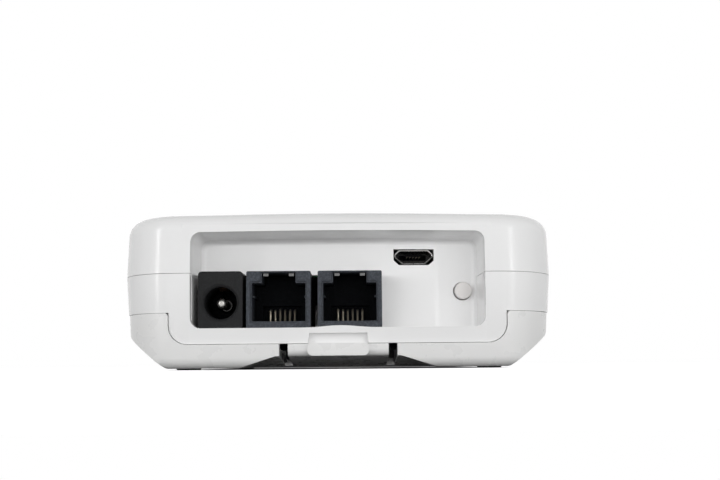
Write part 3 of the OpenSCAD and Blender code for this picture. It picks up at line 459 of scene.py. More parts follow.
def build_lower_housing():
    body = soft_block("case_bottom", HALF_W, FRONT, REAR, CORNER_R,
                      band_profile(CHIN_Z - OVER, SPLIT_Z - JOIN_GAP))
    under = slab("under", (-HALF_W - OVER, FRONT - 2 * OVER, CHIN_Z - 2 * OVER),
                 (HALF_W + OVER, REAR + OVER, RIM_Z + JOIN_GAP))
    cut(under, across("chin", chin_outline(0, CHIN_Z, SPLIT_Z, 3.6 * MM), FRONT - 3 * OVER, FRONT + CHIN_L))
    cut(body, under)
    cut(body, soft_block("hollow", HALF_W - WALL, FRONT + WALL, REAR - WALL, CORNER_R - WALL,
                         band_profile(RIM_Z + FLOOR_T, SPLIT_Z + OVER)))
    cut(body, across("chin_hollow", chin_outline(-WALL, CHIN_Z + FLOOR_T, SPLIT_Z, 1.8 * MM), FRONT + WALL,
                     FRONT + CHIN_L - WALL))
    cut(body, across("opening", sill_outline(), FRONT - OVER, FRONT + WALL + 0.1 * MM))
    for edge in (-1, 1):
        x0, x1 = sorted((edge * (RECESS_HALF - MM), edge * (RECESS_HALF + LINER_T)))
        side_wall = slab("return", (x0, FRONT + WALL - 0.1 * MM, CHIN_Z + FLOOR_T - 0.1 * MM),
                         (x1, RETURN_END, SPLIT_Z - JOIN_GAP))
        cut(side_wall, recess_cutter(CHIN_Z - OVER))
        join(body, side_wall)
    notch_half, notch_top = TAB_HALF - 0.3 * MM, SILL_Z - 1.05 * MM
    notch = [(-TAB_HALF, CHIN_Z - OVER), (TAB_HALF, CHIN_Z - OVER), (TAB_HALF, CHIN_Z),
             (notch_half, notch_top),
             (-notch_half, notch_top), (-TAB_HALF, CHIN_Z)]
    notch_cut = across("notch", notch, FRONT - OVER, FRONT + 2.2 * MM)
    a = np.linspace(0, np.pi / 2, 9)
    scallop = np.stack([FRONT + 0.7 * MM + 1.3 * MM * np.cos(a), CHIN_Z + (notch_top - CHIN_Z) * np.sin(a)],
                       1)
    under_arc = [(FRONT - 2 * MM, notch_top), (FRONT - 2 * MM, CHIN_Z - 2 * MM),
                 (FRONT + 2 * MM, CHIN_Z - 2 * MM)]
    combine(notch_cut, along_x("scallop", np.vstack([scallop, under_arc]), -2 * TAB_HALF, 2 * TAB_HALF),
            "INTERSECT")
    cut(body, notch_cut, fibre_cutter())
    cut(body,
        slab("catch", (-4.2 * MM, FRONT + 3.4 * MM, CHIN_Z - OVER),
             (4.2 * MM, FRONT + 6.2 * MM, CHIN_Z + 3 * MM)))
    middle = (FRONT + REAR) / 2
    vent_z0, vent_z1 = RIM_Z + FLOOR_T + MM, SPLIT_Z - 2 * MM
    for y in middle + VENT_PITCH * np.arange(-5, 6):
        slot = rounded(box_outline(y - 0.8 * MM, vent_z0, y + 0.8 * MM, vent_z1), 0.75 * MM, 3)
        cut(body, along_x("vent", slot, -HALF_W - OVER, -HALF_W * 0.9),
            along_x("vent", slot, HALF_W * 0.9, HALF_W + OVER))
    return soften(body, 0.2 * MM, 2)


# ---- fibre tray and latch

def tray_profile(base, top, radius):
    """Edge of the tray's ends: a quarter circle below, then a wall with 3 degrees of draft."""
    a = np.linspace(0, np.pi / 2, 9)
    foot = math.tan(math.radians(3)) * (top - base - radius)
    arc = np.stack([foot + radius * (1 - np.sin(a)), base + radius * (1 - np.cos(a))], 1)
    return np.vstack([arc, [[0, top]]])


def tray_section(inset, base, top):
    half = HALF_W - TRAY_STEP - inset
    flat = FLAT_HALF - inset * 0.4
    corners = [(-flat, base), (flat, base), (half - 0.3 * MM, base + CHAMFER_H), (half + MM, top),
               (-half - MM, top), (0.3 * MM - half, base + CHAMFER_H)]
    return rounded(corners, np.array([1.5, 1.5, 4.2, 0, 0, 4.2]) * MM, 8)


def tray_block(name, inset, base, top):
    grow = inset + TRAY_STEP
    block = soft_block(name, HALF_W - grow, FRONT + inset, REAR - inset, CORNER_R - inset,
                       tray_profile(base, top, TRAY_EDGE_R))
    section = across("section", tray_section(inset, base, top + 0.5 * MM), FRONT - OVER, REAR + OVER)
    return combine(block, section, "INTERSECT")


def scoop(lift, grow):
    """Wedge under the latch: an arch across the front, with a ceiling that falls towards the rear."""
    half, half_top, top, low = 19.4 * MM + grow, 12 * MM + grow, TRAY_Z + SCOOP_H + lift, TRAY_Z + lift
    corners = [(-half - 8 * MM, TRAY_Z - 2 * MM), (half + 8 * MM, TRAY_Z - 2 * MM), (half + 8 * MM, low),
               (half, low),
               (half_top, top), (-half_top, top), (-half, low), (-half - 8 * MM, low)]
    arch = across("scoop", rounded(corners, np.array([0, 0, 0, 2.5, 2.5, 2.5, 2.5, 0]) * MM, 8), FRONT - OVER,
                  FRONT + 26 * MM)
    falling = [(FRONT - 2 * MM, TRAY_Z - 1.5 * MM), (FRONT + 26 * MM, TRAY_Z - 1.5 * MM),
               (FRONT + 26 * MM, low - 0.01 * MM), (FRONT + SCOOP_L, low - 0.01 * MM),
               (FRONT - 2 * MM, TRAY_Z + SCOOP_H * (1 + 2 * MM / SCOOP_L) + lift)]
    return combine(arch, along_x("fall", falling, -45 * MM, 45 * MM), "INTERSECT")


def u_gap_outline():
    """Gap for the chin: round lower corners and small convex corners where it meets the rim."""
    half, base, top = CHIN_HALF + SEAM, CHIN_Z - SEAM, RIM_Z + 2 * MM
    corners = [(-half, base), (half, base), (half, RIM_Z), (half + 3 * MM, RIM_Z), (half + 3 * MM, top),
               (-half - 3 * MM, top), (-half - 3 * MM, RIM_Z), (-half, RIM_Z)]
    return rounded(corners, np.array([3.7, 3.7, 0.8, 0, 0, 0, 0, 0.8]) * MM, 8)


def foot_centres():
    return [(x, y) for x in (-FOOT_X, FOOT_X) for y in (feet_low[1] + FOOT_INSET, feet_high[1] - FOOT_INSET)]


def build_tray():
    rim = RIM_Z - JOIN_GAP
    tray = tray_block("tray_shell", 0, TRAY_Z, rim)
    hollow = tray_block("hollow", WALL, TRAY_Z + FLOOR_T, RIM_Z + OVER)
    cut(hollow, scoop(FLOOR_T, MM))
    cut(tray, hollow)
    bar_half = TONGUE_HALF + TONGUE_SLOT
    bar_y0, bar_y1 = HINGE_Y - 1.4 * MM, HINGE_Y + 2.6 * MM
    join(tray,
         slab("bar", (-bar_half - 2 * MM, bar_y0, TRAY_Z + 0.2 * MM),
              (bar_half + 2 * MM, bar_y1, KNUCKLE_Z + 2 * MM)))
    for side in (-1, 1):
        x = side * HOOK_X
        y = REAR - 12 * MM
        join(tray,
             slab("hook", (x - 2.5 * MM, y, TRAY_Z + 1.7 * MM), (x + 2.5 * MM, y + 2 * MM, tray_high[2])))
    screws_y = (FRONT + REAR) / 2 + 7 * MM
    cut(tray, scoop(0, 0), across("chin_gap", u_gap_outline(), FRONT - OVER, FRONT + WALL + 2 * MM))
    cut(tray, slab("tongue_gap", (-bar_half, FRONT - OVER, -MM), (bar_half, bar_y0, CHIN_Z + OVER)))
    knuckle = along_x("knuckle", circle_outline(HINGE_Y, KNUCKLE_Z, 1.05 * MM, 24), -TONGUE_HALF - SLIP,
                      TONGUE_HALF + SLIP)
    mouth = [(HINGE_Y - 4 * MM, KNUCKLE_Z - 1.2 * MM), (HINGE_Y, KNUCKLE_Z - 0.9 * MM),
             (HINGE_Y, KNUCKLE_Z + 0.9 * MM), (HINGE_Y - 4 * MM, KNUCKLE_Z + 1.2 * MM)]
    cut(tray, knuckle, along_x("mouth", mouth, -TONGUE_HALF - SLIP, TONGUE_HALF + SLIP))
    cut(tray,
        slab("fibre_entry", (-34 * MM, REAR - 4 * MM, RIM_Z - 5 * MM), (-28 * MM, REAR + OVER, RIM_Z + OVER)))
    for x in (-bar_half, TONGUE_HALF):
        cut(tray,
            slab("slot_end", (x, bar_y0 - OVER, TRAY_Z + 1.1 * MM),
                 (x + TONGUE_SLOT, bar_y1 + OVER, CHIN_Z + OVER)))
    for y in (screws_y - SCREW_HALF, screws_y + SCREW_HALF):
        cut(tray, upright("screw_hole", circle_outline(0, y, 2.1 * MM, 32), -MM, 3 * MM))
    for x, y in foot_centres():
        cut(tray, upright("foot_seat", circle_outline(x, y, FOOT_R + 0.1 * MM, 40), -MM, TRAY_Z + 0.5 * MM))
    return soften(tray, 0.22 * MM, 2)


def build_latch():
    """Tongue that falls to the hinge, a knuckle at its root, a nib and a round-cornered thumb tab."""
    front_z = TRAY_Z + SCOOP_H
    top = CHIN_Z - SEAM
    half_t = 0.75 * MM
    side = [(FRONT, front_z), (FRONT + WALL, front_z - 0.2 * MM), (HINGE_Y - 1.75 * MM, TRAY_Z + 0.42 * MM),
            (HINGE_Y, KNUCKLE_Z - half_t),
            (HINGE_Y, KNUCKLE_Z + half_t), (FRONT + WALL, front_z + 1.3 * MM), (FRONT + WALL, top),
            (FRONT, top)]
    latch = along_x("latch", rounded(side, np.array([1.4, 0, 0, 0, 0, 0, 0, 0.15]) * MM, 5), -TONGUE_HALF,
                    TONGUE_HALF)
    join(latch,
         along_x("knuckle", circle_outline(HINGE_Y, KNUCKLE_Z, 1.0 * MM, 24), -TONGUE_HALF, TONGUE_HALF))
    nib = [(FRONT + 4 * MM, front_z + 0.5 * MM), (FRONT + 6 * MM, front_z + 0.3 * MM),
           (FRONT + 6 * MM, CHIN_Z + 0.3 * MM),
           (FRONT + 4 * MM, CHIN_Z + 0.9 * MM)]
    join(latch, along_x("nib", nib, -4 * MM, 4 * MM))
    tab = rounded(box_outline(-TAB_HALF, CHIN_Z - 2.4 * MM, TAB_HALF, CHIN_Z),
                  np.array([1.0, 1.0, 0.55, 0.55]) * MM, 6)
    join(latch, across("tab", tab, latch_low[1], FRONT + OVER))
    return soften(latch, 0.25 * MM, 3)


# ---- sockets

def build_power_jack():
    """Face plate with small round corners over a narrower body, bored through a chamfered mouth."""
    low, high = dc_low, dc_high
    x = middle_x((low, high))
    face = across("power_jack", rounded(box_outline(low[0], low[2], high[0], high[2]), 0.7 * MM, 4),
                  low[1], low[1] + 3.5 * MM)
    body = slab("body", (low[0] + 0.4 * MM, low[1] + 3 * MM, low[2] + 0.4 * MM),
                (high[0] - 0.4 * MM, high[1], high[2]))
    join(face, body)
    r, z = BORE_R, SOCKET_Z
    bore = turned("bore",
                  [(r + 0.55 * MM, low[1] - OVER), (r + 0.55 * MM, low[1] - 0.01 * MM),
                   (r, low[1] + 0.5 * MM),
                           (r, low[1] + 9.5 * MM)], x, z, 64)
    cut(face, bore, slab("slot", (x - MM, low[1] + 2.5 * MM, z), (x + MM, high[1] - 2 * MM, z + r + MM)))
    return soften(face, 0.14 * MM, 2)


def build_power_pin():
    """Pin with a round nose, and a bright ring round its root."""
    low, high = pin_low, pin_high
    r = (high[0] - low[0]) / 2
    x = middle_x((low, high))
    a = np.linspace(0, np.pi / 2, 7)[1:]
    nose = np.stack([r * np.sin(a), low[1] + r * (1 - np.cos(a))], 1)
    collar, root = 1.45 * MM, dc_low[1] + 8 * MM
    profile = np.vstack([[[0.02 * MM, low[1]]], nose,
                         [[r, root + 0.3 * MM], [collar - 0.35 * MM, root + 0.3 * MM],
                         [collar - 0.2 * MM, root], [collar, root + 0.15 * MM], [collar, root + MM],
                          [r, root + MM],
                         [r, high[1] - 0.1 * MM]]])
    return soften(turned("power_pin", profile, x, SOCKET_Z, 32), 0)


def middle_x(box):
    return (box[0][0] + box[1][0]) / 2


def jack_opening(x, z0, z1, grow):
    """Plug opening with the latch's notch above it, as an outline in X and Z."""
    half, notch = JACK_HALF + grow, 3.3 * MM + grow
    base, shoulder, top = z0 + JACK_FLOOR - grow, z1 - 2.35 * MM + grow, z1 - 0.3 * MM + grow / 3
    corners = [(x - half, base), (x + half, base), (x + half, shoulder), (x + notch, shoulder),
               (x + notch, top),
               (x - notch, top), (x - notch, shoulder), (x - half, shoulder)]
    return rounded(corners, 0.18 * MM, 2)


def wire_places(x):
    """Middles of a jack's six wires."""
    return [x + (n - 2.5) * WIRE_PITCH for n in range(6)]


def build_modular_jack(side):
    """Moulded frame with a stepped mouth, ledges half way up its sides and a comb for the wires."""
    low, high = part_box("modular_jack_" + side)
    x = middle_x((low, high))
    body = across("jack_" + side, rounded(box_outline(low[0], low[2], high[0], high[2]), 0.25 * MM, 2),
                  low[1], high[1])
    hollow = jack_opening(x, low[2], high[2], 0)
    cut(body, across("hollow", hollow, low[1] - OVER, low[1] + HOLLOW_L))
    cut(body, across("mouth", jack_opening(x, low[2], high[2], 0.3 * MM), low[1] - OVER, low[1] + 0.4 * MM))
    floor_z = low[2] + JACK_FLOOR
    cut(body, slab("comb", (x - 3.9 * MM, low[1] + HOLLOW_L - OVER, floor_z),
                   (x + 3.9 * MM, low[1] + HOLLOW_L + 1.8 * MM, floor_z + 3.5 * MM)))
    for wire_x in wire_places(x):
        cut(body, slab("groove", (wire_x - 0.3 * MM, low[1] + 3 * MM, low[2] + 0.55 * MM),
                       (wire_x + 0.3 * MM, low[1] + HOLLOW_L + 1.8 * MM, low[2] + 2 * MM)))
    for edge in (-1, 1):
        x0, x1 = sorted((x + edge * JACK_HALF * 1.01, x + edge * (JACK_HALF - 0.35 * MM)))
        join(body, slab("ledge", (x0, low[1] + 2.2 * MM, low[2] + 6.2 * MM),
                        (x1, low[1] + HOLLOW_L + 0.1 * MM, low[2] + 6.6 * MM)))
    return soften(body, 0.09 * MM, 2)


def tube(path, r, sides=8):
    """Rings of a circle of radius r carried along a path in the plane of Y and Z."""
    path = np.asarray(path, float)
    step = np.gradient(path, axis=0)
    step /= np.linalg.norm(step, axis=1)[:, None]
    side = np.array([1.0, 0, 0])
    up = np.cross(step, side)
    a = np.linspace(0, 2 * np.pi, sides, endpoint=False)
    rings = path[:, None] + r * (np.cos(a)[None, :, None] * side + np.sin(a)[None, :, None] * up[:, None])
    return loft("wire", rings)


def gather(name, parts):
    """One object from several."""
    bpy.ops.object.select_all(action="DESELECT")
    for part in parts:
        part.select_set(True)
    bpy.context.view_layer.objects.active = parts[0]
    bpy.ops.object.join()
    parts[0].name = name
    parts[0].data.name = name
    return parts[0]


def build_jack_wires(side):
    """Six spring wires: flat in the floor's grooves, then bent up through the comb at the rear."""
    low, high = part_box("jack_contacts_" + side)
    x = middle_x((low, high))
    y0, y1, z0, z1 = low[1], high[1], low[2], high[2]
    r = 0.24 * MM
    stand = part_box("modular_jack_" + side)[0][1] + HOLLOW_L + 0.8 * MM
    knots = np.array([(y0, z0 + r), (stand - 1.2 * MM, z0 + r), (stand - 0.1 * MM, z0 + 1.1 * r),
                      (stand + 0.2 * MM, z1 - 2 * r),
                      (stand + 0.9 * MM, z1 - r), (y1, z1 - r)])
    t = np.linspace(0, len(knots) - 1, 41)
    path = np.stack([np.interp(t, np.arange(len(knots)), knots[:, k]) for k in (0, 1)], 1)
    for _ in range(2):
        path[1:-1] = (path[:-2] + 2 * path[1:-1] + path[2:]) / 4
    wires = [tube(np.column_stack([np.full(len(path), wire_x), path]), r) for wire_x in wire_places(x)]
    return soften(gather("wires_" + side, wires), 0)


def build_jack_shield(side):
    """Two small folded tabs of the jack's metal shield, just inside the top of the latch's notch."""
    low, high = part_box("modular_jack_" + side)
    x = middle_x((low, high))
    y0, top = low[1] + 0.45 * MM, high[2] - 0.4 * MM
    tabs = []
    for edge in (-1, 1):
        middle = x + edge * 2.5 * MM
        tabs.append(slab("tab", (middle - 0.5 * MM, y0, top - 0.6 * MM),
                         (middle + 0.5 * MM, y0 + 0.3 * MM, top)))
    return soften(gather("jack_shield_" + side, tabs), 0.06 * MM, 2)


def usb_ring(inset):
    """Section of the socket's shell: narrow base, sides that flare to the waist, rounded shoulders."""
    half, base, h = USB_HALF - inset, 2.3 * MM - 0.6 * inset, USB_H - 2 * inset
    z = USB_BASE + inset
    corners = [(USB_X - base, z), (USB_X + base, z), (USB_X + half, z + 0.52 * h),
               (USB_X + half, z + 0.7 * h),
               (USB_X + half - 0.85 * MM, z + h), (USB_X - half + 0.85 * MM, z + h),
               (USB_X - half, z + 0.7 * h),
               (USB_X - half, z + 0.52 * h)]
    return rounded(corners, np.array([0.35, 0.35, 0.5, 0.5, 0.6, 0.6, 0.5, 0.5]) * MM, 4)


def build_usb_shell():
    """Folded shell: the outer ring, an inner ring one metal thickness in, and a small outward lip."""
    metal = 0.26 * MM
    y0, y1 = usb_low[1], usb_high[1]
    stations = [(metal, y1 - metal), (metal, y0 + 0.25 * MM), (metal * 0.75, y0 + 0.05 * MM),
                (metal * 0.4, y0),
                (0.02 * MM, y0 + 0.06 * MM), (0.04 * MM, y0 + 0.3 * MM), (0.04 * MM, y1)]
    shell = loft("usb_socket", [ring_at(usb_ring(inset), y) for inset, y in stations])
    seam = slab("seam", (USB_X - 0.06 * MM, y0 - OVER, USB_BASE - OVER), (USB_X + 0.06 * MM, y0 + 2.6 * MM,
                USB_BASE + 0.3 * MM))
    cut(shell, seam)
    return soften(shell, 0)


def build_usb_tongue():
    low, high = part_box("usb_tongue")
    z = (low[2] + high[2]) / 2 + 0.1 * MM
    blade = across("usb_insert",
                   rounded(box_outline(USB_X - 1.85 * MM, z - 0.22 * MM, USB_X + 1.85 * MM, z + 0.28 * MM),
                   0.08 * MM, 2), low[1], high[1])
    back = slab("back", (low[0], high[1] - MM, z - 0.5 * MM), (high[0], high[1], high[2]))
    join(blade, back)
    return soften(blade, 0.05 * MM, 2)


def build_usb_contacts():
    low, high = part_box("usb_tongue")
    z = (low[2] + high[2]) / 2 + 0.1 * MM
    strips = [slab("strip", (USB_X + n * 0.65 * MM - 0.15 * MM, low[1] + 0.2 * MM, z - 0.3 * MM),
                   (USB_X + n * 0.65 * MM + 0.15 * MM, high[1] - MM, z - 0.21 * MM)) for n in range(-2, 3)]
    return soften(gather("usb_contacts", strips), 0.03 * MM, 1)


# ---- button, cap, feet, lights

def build_button():
    """Cap with a slightly domed face and a soft rim, its flange and its stem behind the panel."""
    low, high = button_low, button_high
    r = BUTTON_R
    t = np.linspace(0, 1, 6)[:, None]
    dome = np.hstack([0.02 * MM + (r - 0.42 * MM) * t, low[1] + 0.1 * MM * t ** 2])
    a = np.linspace(0.25, np.pi / 2, 6)
    rim = np.stack([r - 0.42 * MM + 0.42 * MM * np.sin(a), low[1] + 0.1 * MM + 0.42 * MM * (1 - np.cos(a))],
                   1)
    collar = PANEL_Y + PANEL_T + SLIP
    back = [(r, collar), (r + 1.4 * MM, collar), (r + 1.4 * MM, collar + MM), (MM, collar + MM),
            (MM, high[1] - 0.02 * MM),
            (0.02 * MM, high[1])]
    return soften(turned("reset_cap", np.vstack([dome, rim, back]), BUTTON_X, BUTTON_Z, 64), 0)


def build_dust_cap():
    """Plug, a head with round corners that narrows to a crowned end, and three grip flutes."""
    y0, y1 = REAR + 0.3 * MM, cap_high[1]
    half_w, half_h = SC_W / 2, SC_H / 2
    steps = [(0.35, 0), (0.0, 0.35), (0.0, 1.3), (0.28, 1.5), (0.28, 1.9), (0.0, 2.1), (0.0, 2.5),
             (0.28, 2.7), (0.28, 3.1), (0.0, 3.3), (0.0, 3.6), (0.28, 3.8), (0.28, 4.2), (0.05, 4.4)]
    stations = [(inset, y0 + step * MM) for inset, step in steps]
    stations += [(0.3, y1 - 0.3 * MM), (0.9, y1 - 0.02 * MM), (1.4, y1)]
    rings = []
    for inset, y in stations:
        w, h = half_w - inset * MM, half_h - inset * MM
        rings.append(ring_at(soft_box(SC_X, SPLIT_Z, w, h, 1.6 * MM, 6), y))
    head = loft("fibre_dust_cap", rings)
    plug = across("plug", soft_box(SC_X, SPLIT_Z, 4.3 * MM, 3.5 * MM, 0.6 * MM, 3), cap_low[1],
                  y0 + 0.5 * MM)
    join(head, plug)
    cut(head, turned("bore", [(2.5 * MM, cap_low[1] - OVER), (2.5 * MM, REAR - 2 * MM)], SC_X, SPLIT_Z, 32))
    return soften(head, 0.08 * MM, 2, 40)


def build_receptacle():
    """Square sleeve of the fibre port with a keyed hollow and its two ribs behind the rear wall."""
    low, high = sc_low, sc_high
    half_w = SC_W / 2
    body = across("fibre_port",
                  rounded(box_outline(SC_X - half_w, low[2], SC_X + half_w, high[2]), 0.4 * MM, 3), low[1],
                  high[1])
    ribs = slab("ribs", (low[0], REAR - WALL - SLIP - 2 * MM, low[2] + 1.5 * MM),
                (high[0], REAR - WALL - SLIP, high[2] - 1.5 * MM))
    join(body, ribs)
    hollow = soft_box(SC_X, SPLIT_Z, 4.5 * MM, 3.7 * MM, 0.5 * MM, 3)
    cut(body, across("hollow", hollow, low[1] + 6 * MM, high[1] + OVER),
        slab("key", (SC_X - 1.2 * MM, low[1] + 10 * MM, SPLIT_Z),
             (SC_X + 1.2 * MM, high[1] + OVER, SPLIT_Z + 4.3 * MM)),
        turned("bore", [(2.2 * MM, low[1] - OVER), (2.2 * MM, low[1] + 7 * MM)], SC_X, SPLIT_Z, 32))
    return soften(body, 0.1 * MM, 2)


def build_feet():
    """Four discs of soft rubber: a flat sole, a round lower edge and a dimple in the middle."""
    r, top = FOOT_R, feet_high[2]
    a = np.linspace(0, np.pi / 2, 6)
    edge = np.stack([r - 0.3 * MM + 0.3 * MM * np.sin(a), 0.3 * MM * (1 - np.cos(a))], 1)
    profile = np.vstack([[[0.05 * MM, 0.12 * MM], [1.1 * MM, 0.12 * MM], [1.3 * MM, 0]], edge, [[r, top]]])
    feet = [turned("foot", profile, x, y, 48, about_z=True) for x, y in foot_centres()]
    return soften(gather("feet", feet), 0)


def build_light_guide():
    """Bar under the roof with one post a light, each post ending in a shallow dome at the roof."""
    low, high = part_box("light_pipe")
    bar = slab("light_guide", (low[0], low[1], TOP_Z - WALL - 1.5 * MM), (high[0], high[1], TOP_Z - WALL))
    r = 1.1 * MM
    profile = np.array([(r, low[2]), (r, TOP_Z - 0.12 * MM), (r * 0.85, TOP_Z - 0.04 * MM),
                        (r * 0.5, TOP_Z - 0.005 * MM),
                        (0.02 * MM, TOP_Z)])
    for x in LED_XS:
        join(bar, turned("post", profile, x, LED_Y, 32, about_z=True))
    crown(bar)
    return soften(bar, 0.05 * MM, 1, 50)


# ---- materials

class Recipe:
    """Node tree of one finish, read on Object coordinates in metres."""

    def __init__(self, name, color, rough, metallic=0.0, ior=1.5):
        self.mat = bpy.data.materials.new(name)
        self.mat.use_nodes = True
        self.tree = self.mat.node_tree
        self.shader = self.tree.nodes["Principled BSDF"]
        self.shader.inputs["Base Color"].default_value = (*color, 1)
        self.shader.inputs["Roughness"].default_value = rough
        self.shader.inputs["Metallic"].default_value = metallic
        self.shader.inputs["IOR"].default_value = ior
        self.color = color
        self.rough = rough
        self.where = self.tree.nodes.new("ShaderNodeTexCoord").outputs["Object"]
        self.normal = None

    def node(self, kind, **inputs):
        made = self.tree.nodes.new(kind)
        for key, value in inputs.items():
            self.feed(made, key, value)
        return made

    def feed(self, node, key, value):
        socket = node.inputs[key]
        if hasattr(value, "is_output"):
            self.tree.links.new(value, socket)
        else:
            socket.default_value = value

    def stretch(self, scale=(1, 1, 1), turn=(0, 0, 0), shift=(0, 0, 0)):
        return self.node("ShaderNodeMapping", Vector=self.where, Scale=scale, Rotation=turn,
                         Location=shift).outputs[0]

    def noise(self, scale, detail=3.0, rough=0.55, where=None):
        return self.node("ShaderNodeTexNoise", Vector=where or self.where, Scale=scale, Detail=detail,
                         Roughness=rough).outputs["Fac"]

    def spread(self, value, low, high, to_low=0.0, to_high=1.0):
        """Maps low..high to to_low..to_high and stops there."""
        made = self.node("ShaderNodeMapRange", Value=value)
        for key, number in (("From Min", low), ("From Max", high), ("To Min", to_low), ("To Max", to_high)):
            made.inputs[key].default_value = number
        return made.outputs[0]

    def mix(self, factor, first, second):
        made = self.tree.nodes.new("ShaderNodeMix")
        made.data_type = "RGBA"
        for index, value in ((0, factor), (6, first), (7, second)):
            if hasattr(value, "is_output"):
                self.tree.links.new(value, made.inputs[index])
            elif index:
                made.inputs[index].default_value = (*value, 1)
            else:
                made.inputs[index].default_value = value
        return made.outputs[2]

    def paint(self, factor, second, first=None):
        """Mixes second over the colour so far by factor."""
        socket = self.shader.inputs["Base Color"]
        if first is None:
            first = socket.links[0].from_socket if socket.links else self.color
        self.tree.links.new(self.mix(factor, first, second), socket)

    def polish(self, factor, low, high):
        self.tree.links.new(self.spread(factor, 0.3, 0.7, low, high), self.shader.inputs["Roughness"])

    def bump(self, height, depth, strength=1.0):
        made = self.node("ShaderNodeBump", Height=height, Distance=depth, Strength=strength)
        if self.normal:
            self.tree.links.new(self.normal, made.inputs["Normal"])
        self.normal = made.outputs[0]
        self.tree.links.new(self.normal, self.shader.inputs["Normal"])


def maths(tree, operation, *values):
    """Output of a maths node, whose inputs are links or numbers."""
    made = tree.nodes.new("ShaderNodeMath")
    made.operation = operation
    for socket, value in zip(made.inputs, values):
        if hasattr(value, "is_output"):
            tree.links.new(value, socket)
        else:
            socket.default_value = value
    return made.outputs[0]


def tint(color, factor):
    return tuple(min(1.0, c * factor) for c in color)


def moulded_white(name, color, rough=0.3, sheltered=None):
    """Satin moulded plastic: faint cloudiness, a fine spark grain and slow waviness. The inside of
    the recess takes the sheltered colour, painted paler because the lamps bring little light there."""
    r = Recipe(name, color, rough, ior=1.5)
    cloud = r.noise(45, 2)
    r.paint(r.spread(cloud, 0.3, 0.7), tint(color, 0.985))
    if sheltered:
        place = r.node("ShaderNodeSeparateXYZ", Vector=r.where).outputs
        sideways = maths(r.tree, "ABSOLUTE", place["X"])
        inside = [r.spread(place["Y"], FRONT + 0.5 * MM, FRONT + 3 * MM),
                  r.spread(sideways, RECESS_HALF + 0.1 * MM, RECESS_HALF + 0.3 * MM, 1.0, 0.0),
                  r.spread(place["Z"], BROW_Z + 0.1 * MM, BROW_Z + 0.3 * MM, 1.0, 0.0)]
        share = inside[0]
        for other in inside[1:]:
            share = maths(r.tree, "MULTIPLY", share, other)
        r.paint(share, sheltered)
    r.polish(r.noise(260, 3), rough - 0.04, rough + 0.06)
    r.bump(r.noise(70, 2), 0.02 * MM, 0.35)
    r.bump(r.noise(5200, 2), 0.004 * MM, 0.6)
    return r.mat


def moulded_dark(name, color, rough=0.45, grain=2600.0, speck=0.05, lift=1.5, depth=None, sheen=0.3):
    """Filled dark plastic: fine grain, glass fibre specks and paler flow clouds. With a depth, given as two
    places along Y, painted shade takes its colour to near black and its specular level down to 0.02 from the
    first place to the second, deeper into the socket."""
    r = Recipe(name, color, rough, ior=1.52)
    r.paint(r.spread(r.noise(2200, 3), 0.42, 0.7), tint(color, lift))
    r.paint(r.spread(r.noise(5200, 1), 0.66, 0.72, 0.0, speck * 6), tint(color, 4.0))
    if depth:
        # Painted shade: deeper into the socket the colour goes to near black and the specular level falls,
        # standing in for the dark inside.
        along = r.node("ShaderNodeSeparateXYZ", Vector=r.where).outputs["Y"]
        r.paint(r.spread(along, *depth, 0.0, 0.93), (0.001, 0.001, 0.0012))
        r.feed(r.shader, "Specular IOR Level", r.spread(along, *depth, sheen, 0.02))
    r.polish(r.noise(900, 3), rough - 0.07, rough + 0.1)
    r.bump(r.noise(grain, 3), 0.012 * MM, 0.7)
    return r.mat


def plated(name, color, rough=0.22, lines=(1, 1, 1), aged=0.85, depth=None):
    """Plated sheet metal: rolling lines, clouded polish and slightly darker patches. With a depth, given as
    two places along Y, painted shade takes it to near black from the first place to the second."""
    r = Recipe(name, color, rough, metallic=1.0)
    r.paint(r.spread(r.noise(420, 3), 0.45, 0.7), tint(color, aged))
    if depth:
        # Painted shade: deeper in, the metal goes to near black, standing in for the dark inside of its
        # socket.
        along = r.node("ShaderNodeSeparateXYZ", Vector=r.where).outputs["Y"]
        r.paint(r.spread(along, *depth, 0.0, 0.95), (0.002, 0.002, 0.002))
    drawn = r.noise(2400, 2, where=r.stretch(lines))
    r.polish(drawn, rough - 0.06, rough + 0.12)
    r.bump(drawn, 0.004 * MM, 0.5)
    return r.mat


def solder_mask():
    """Green lacquer over copper: traces show as paler lines along both axes, with tinned pads."""
    green = (0.015, 0.11, 0.045)
    r = Recipe("board_green", green, 0.32)
    for turn in (0.0, math.pi / 2):
        lines = r.node("ShaderNodeTexWave", Vector=r.stretch(turn=(0, 0, turn)), Scale=95.0, Distortion=0.0)
        edge = r.spread(lines.outputs["Fac"], 0.72, 0.8)
        patches = r.spread(r.noise(130 + 40 * turn, 1), 0.5, 0.53)
        there = maths(r.tree, "MULTIPLY", edge, patches)
        r.paint(there, (0.04, 0.24, 0.09))
        r.bump(there, 0.03 * MM, 0.6)
    pads = r.node("ShaderNodeTexVoronoi", Vector=r.where, Scale=420.0)
    r.paint(r.spread(pads.outputs["Distance"], 0.16, 0.18, 0.85, 0.0), (0.6, 0.58, 0.5))
    r.polish(r.noise(800, 2), 0.26, 0.4)
    return r.mat


def rubber():
    """Matt rubber with dust held in its pores."""
    r = Recipe("foot_rubber", (0.035, 0.035, 0.036), 0.75)
    r.shader.inputs["Sheen Weight"].default_value = 0.2
    r.paint(r.spread(r.noise(900, 4), 0.5, 0.8), (0.09, 0.088, 0.085))
    r.polish(r.noise(500, 2), 0.68, 0.82)
    r.bump(r.noise(3000, 3), 0.02 * MM, 0.7)
    return r.mat


def clear_plastic():
    """Milky light guide: partly clear, with flow lines and small voids."""
    r = Recipe("clear_plastic", (0.86, 0.87, 0.88), 0.18, ior=1.49)
    r.shader.inputs["Transmission Weight"].default_value = 0.45
    r.paint(r.spread(r.noise(700, 3), 0.4, 0.7), (0.74, 0.76, 0.78))
    r.polish(r.noise(1500, 2), 0.14, 0.26)
    r.bump(r.noise(2600, 2), 0.004 * MM, 0.5)
    return r.mat


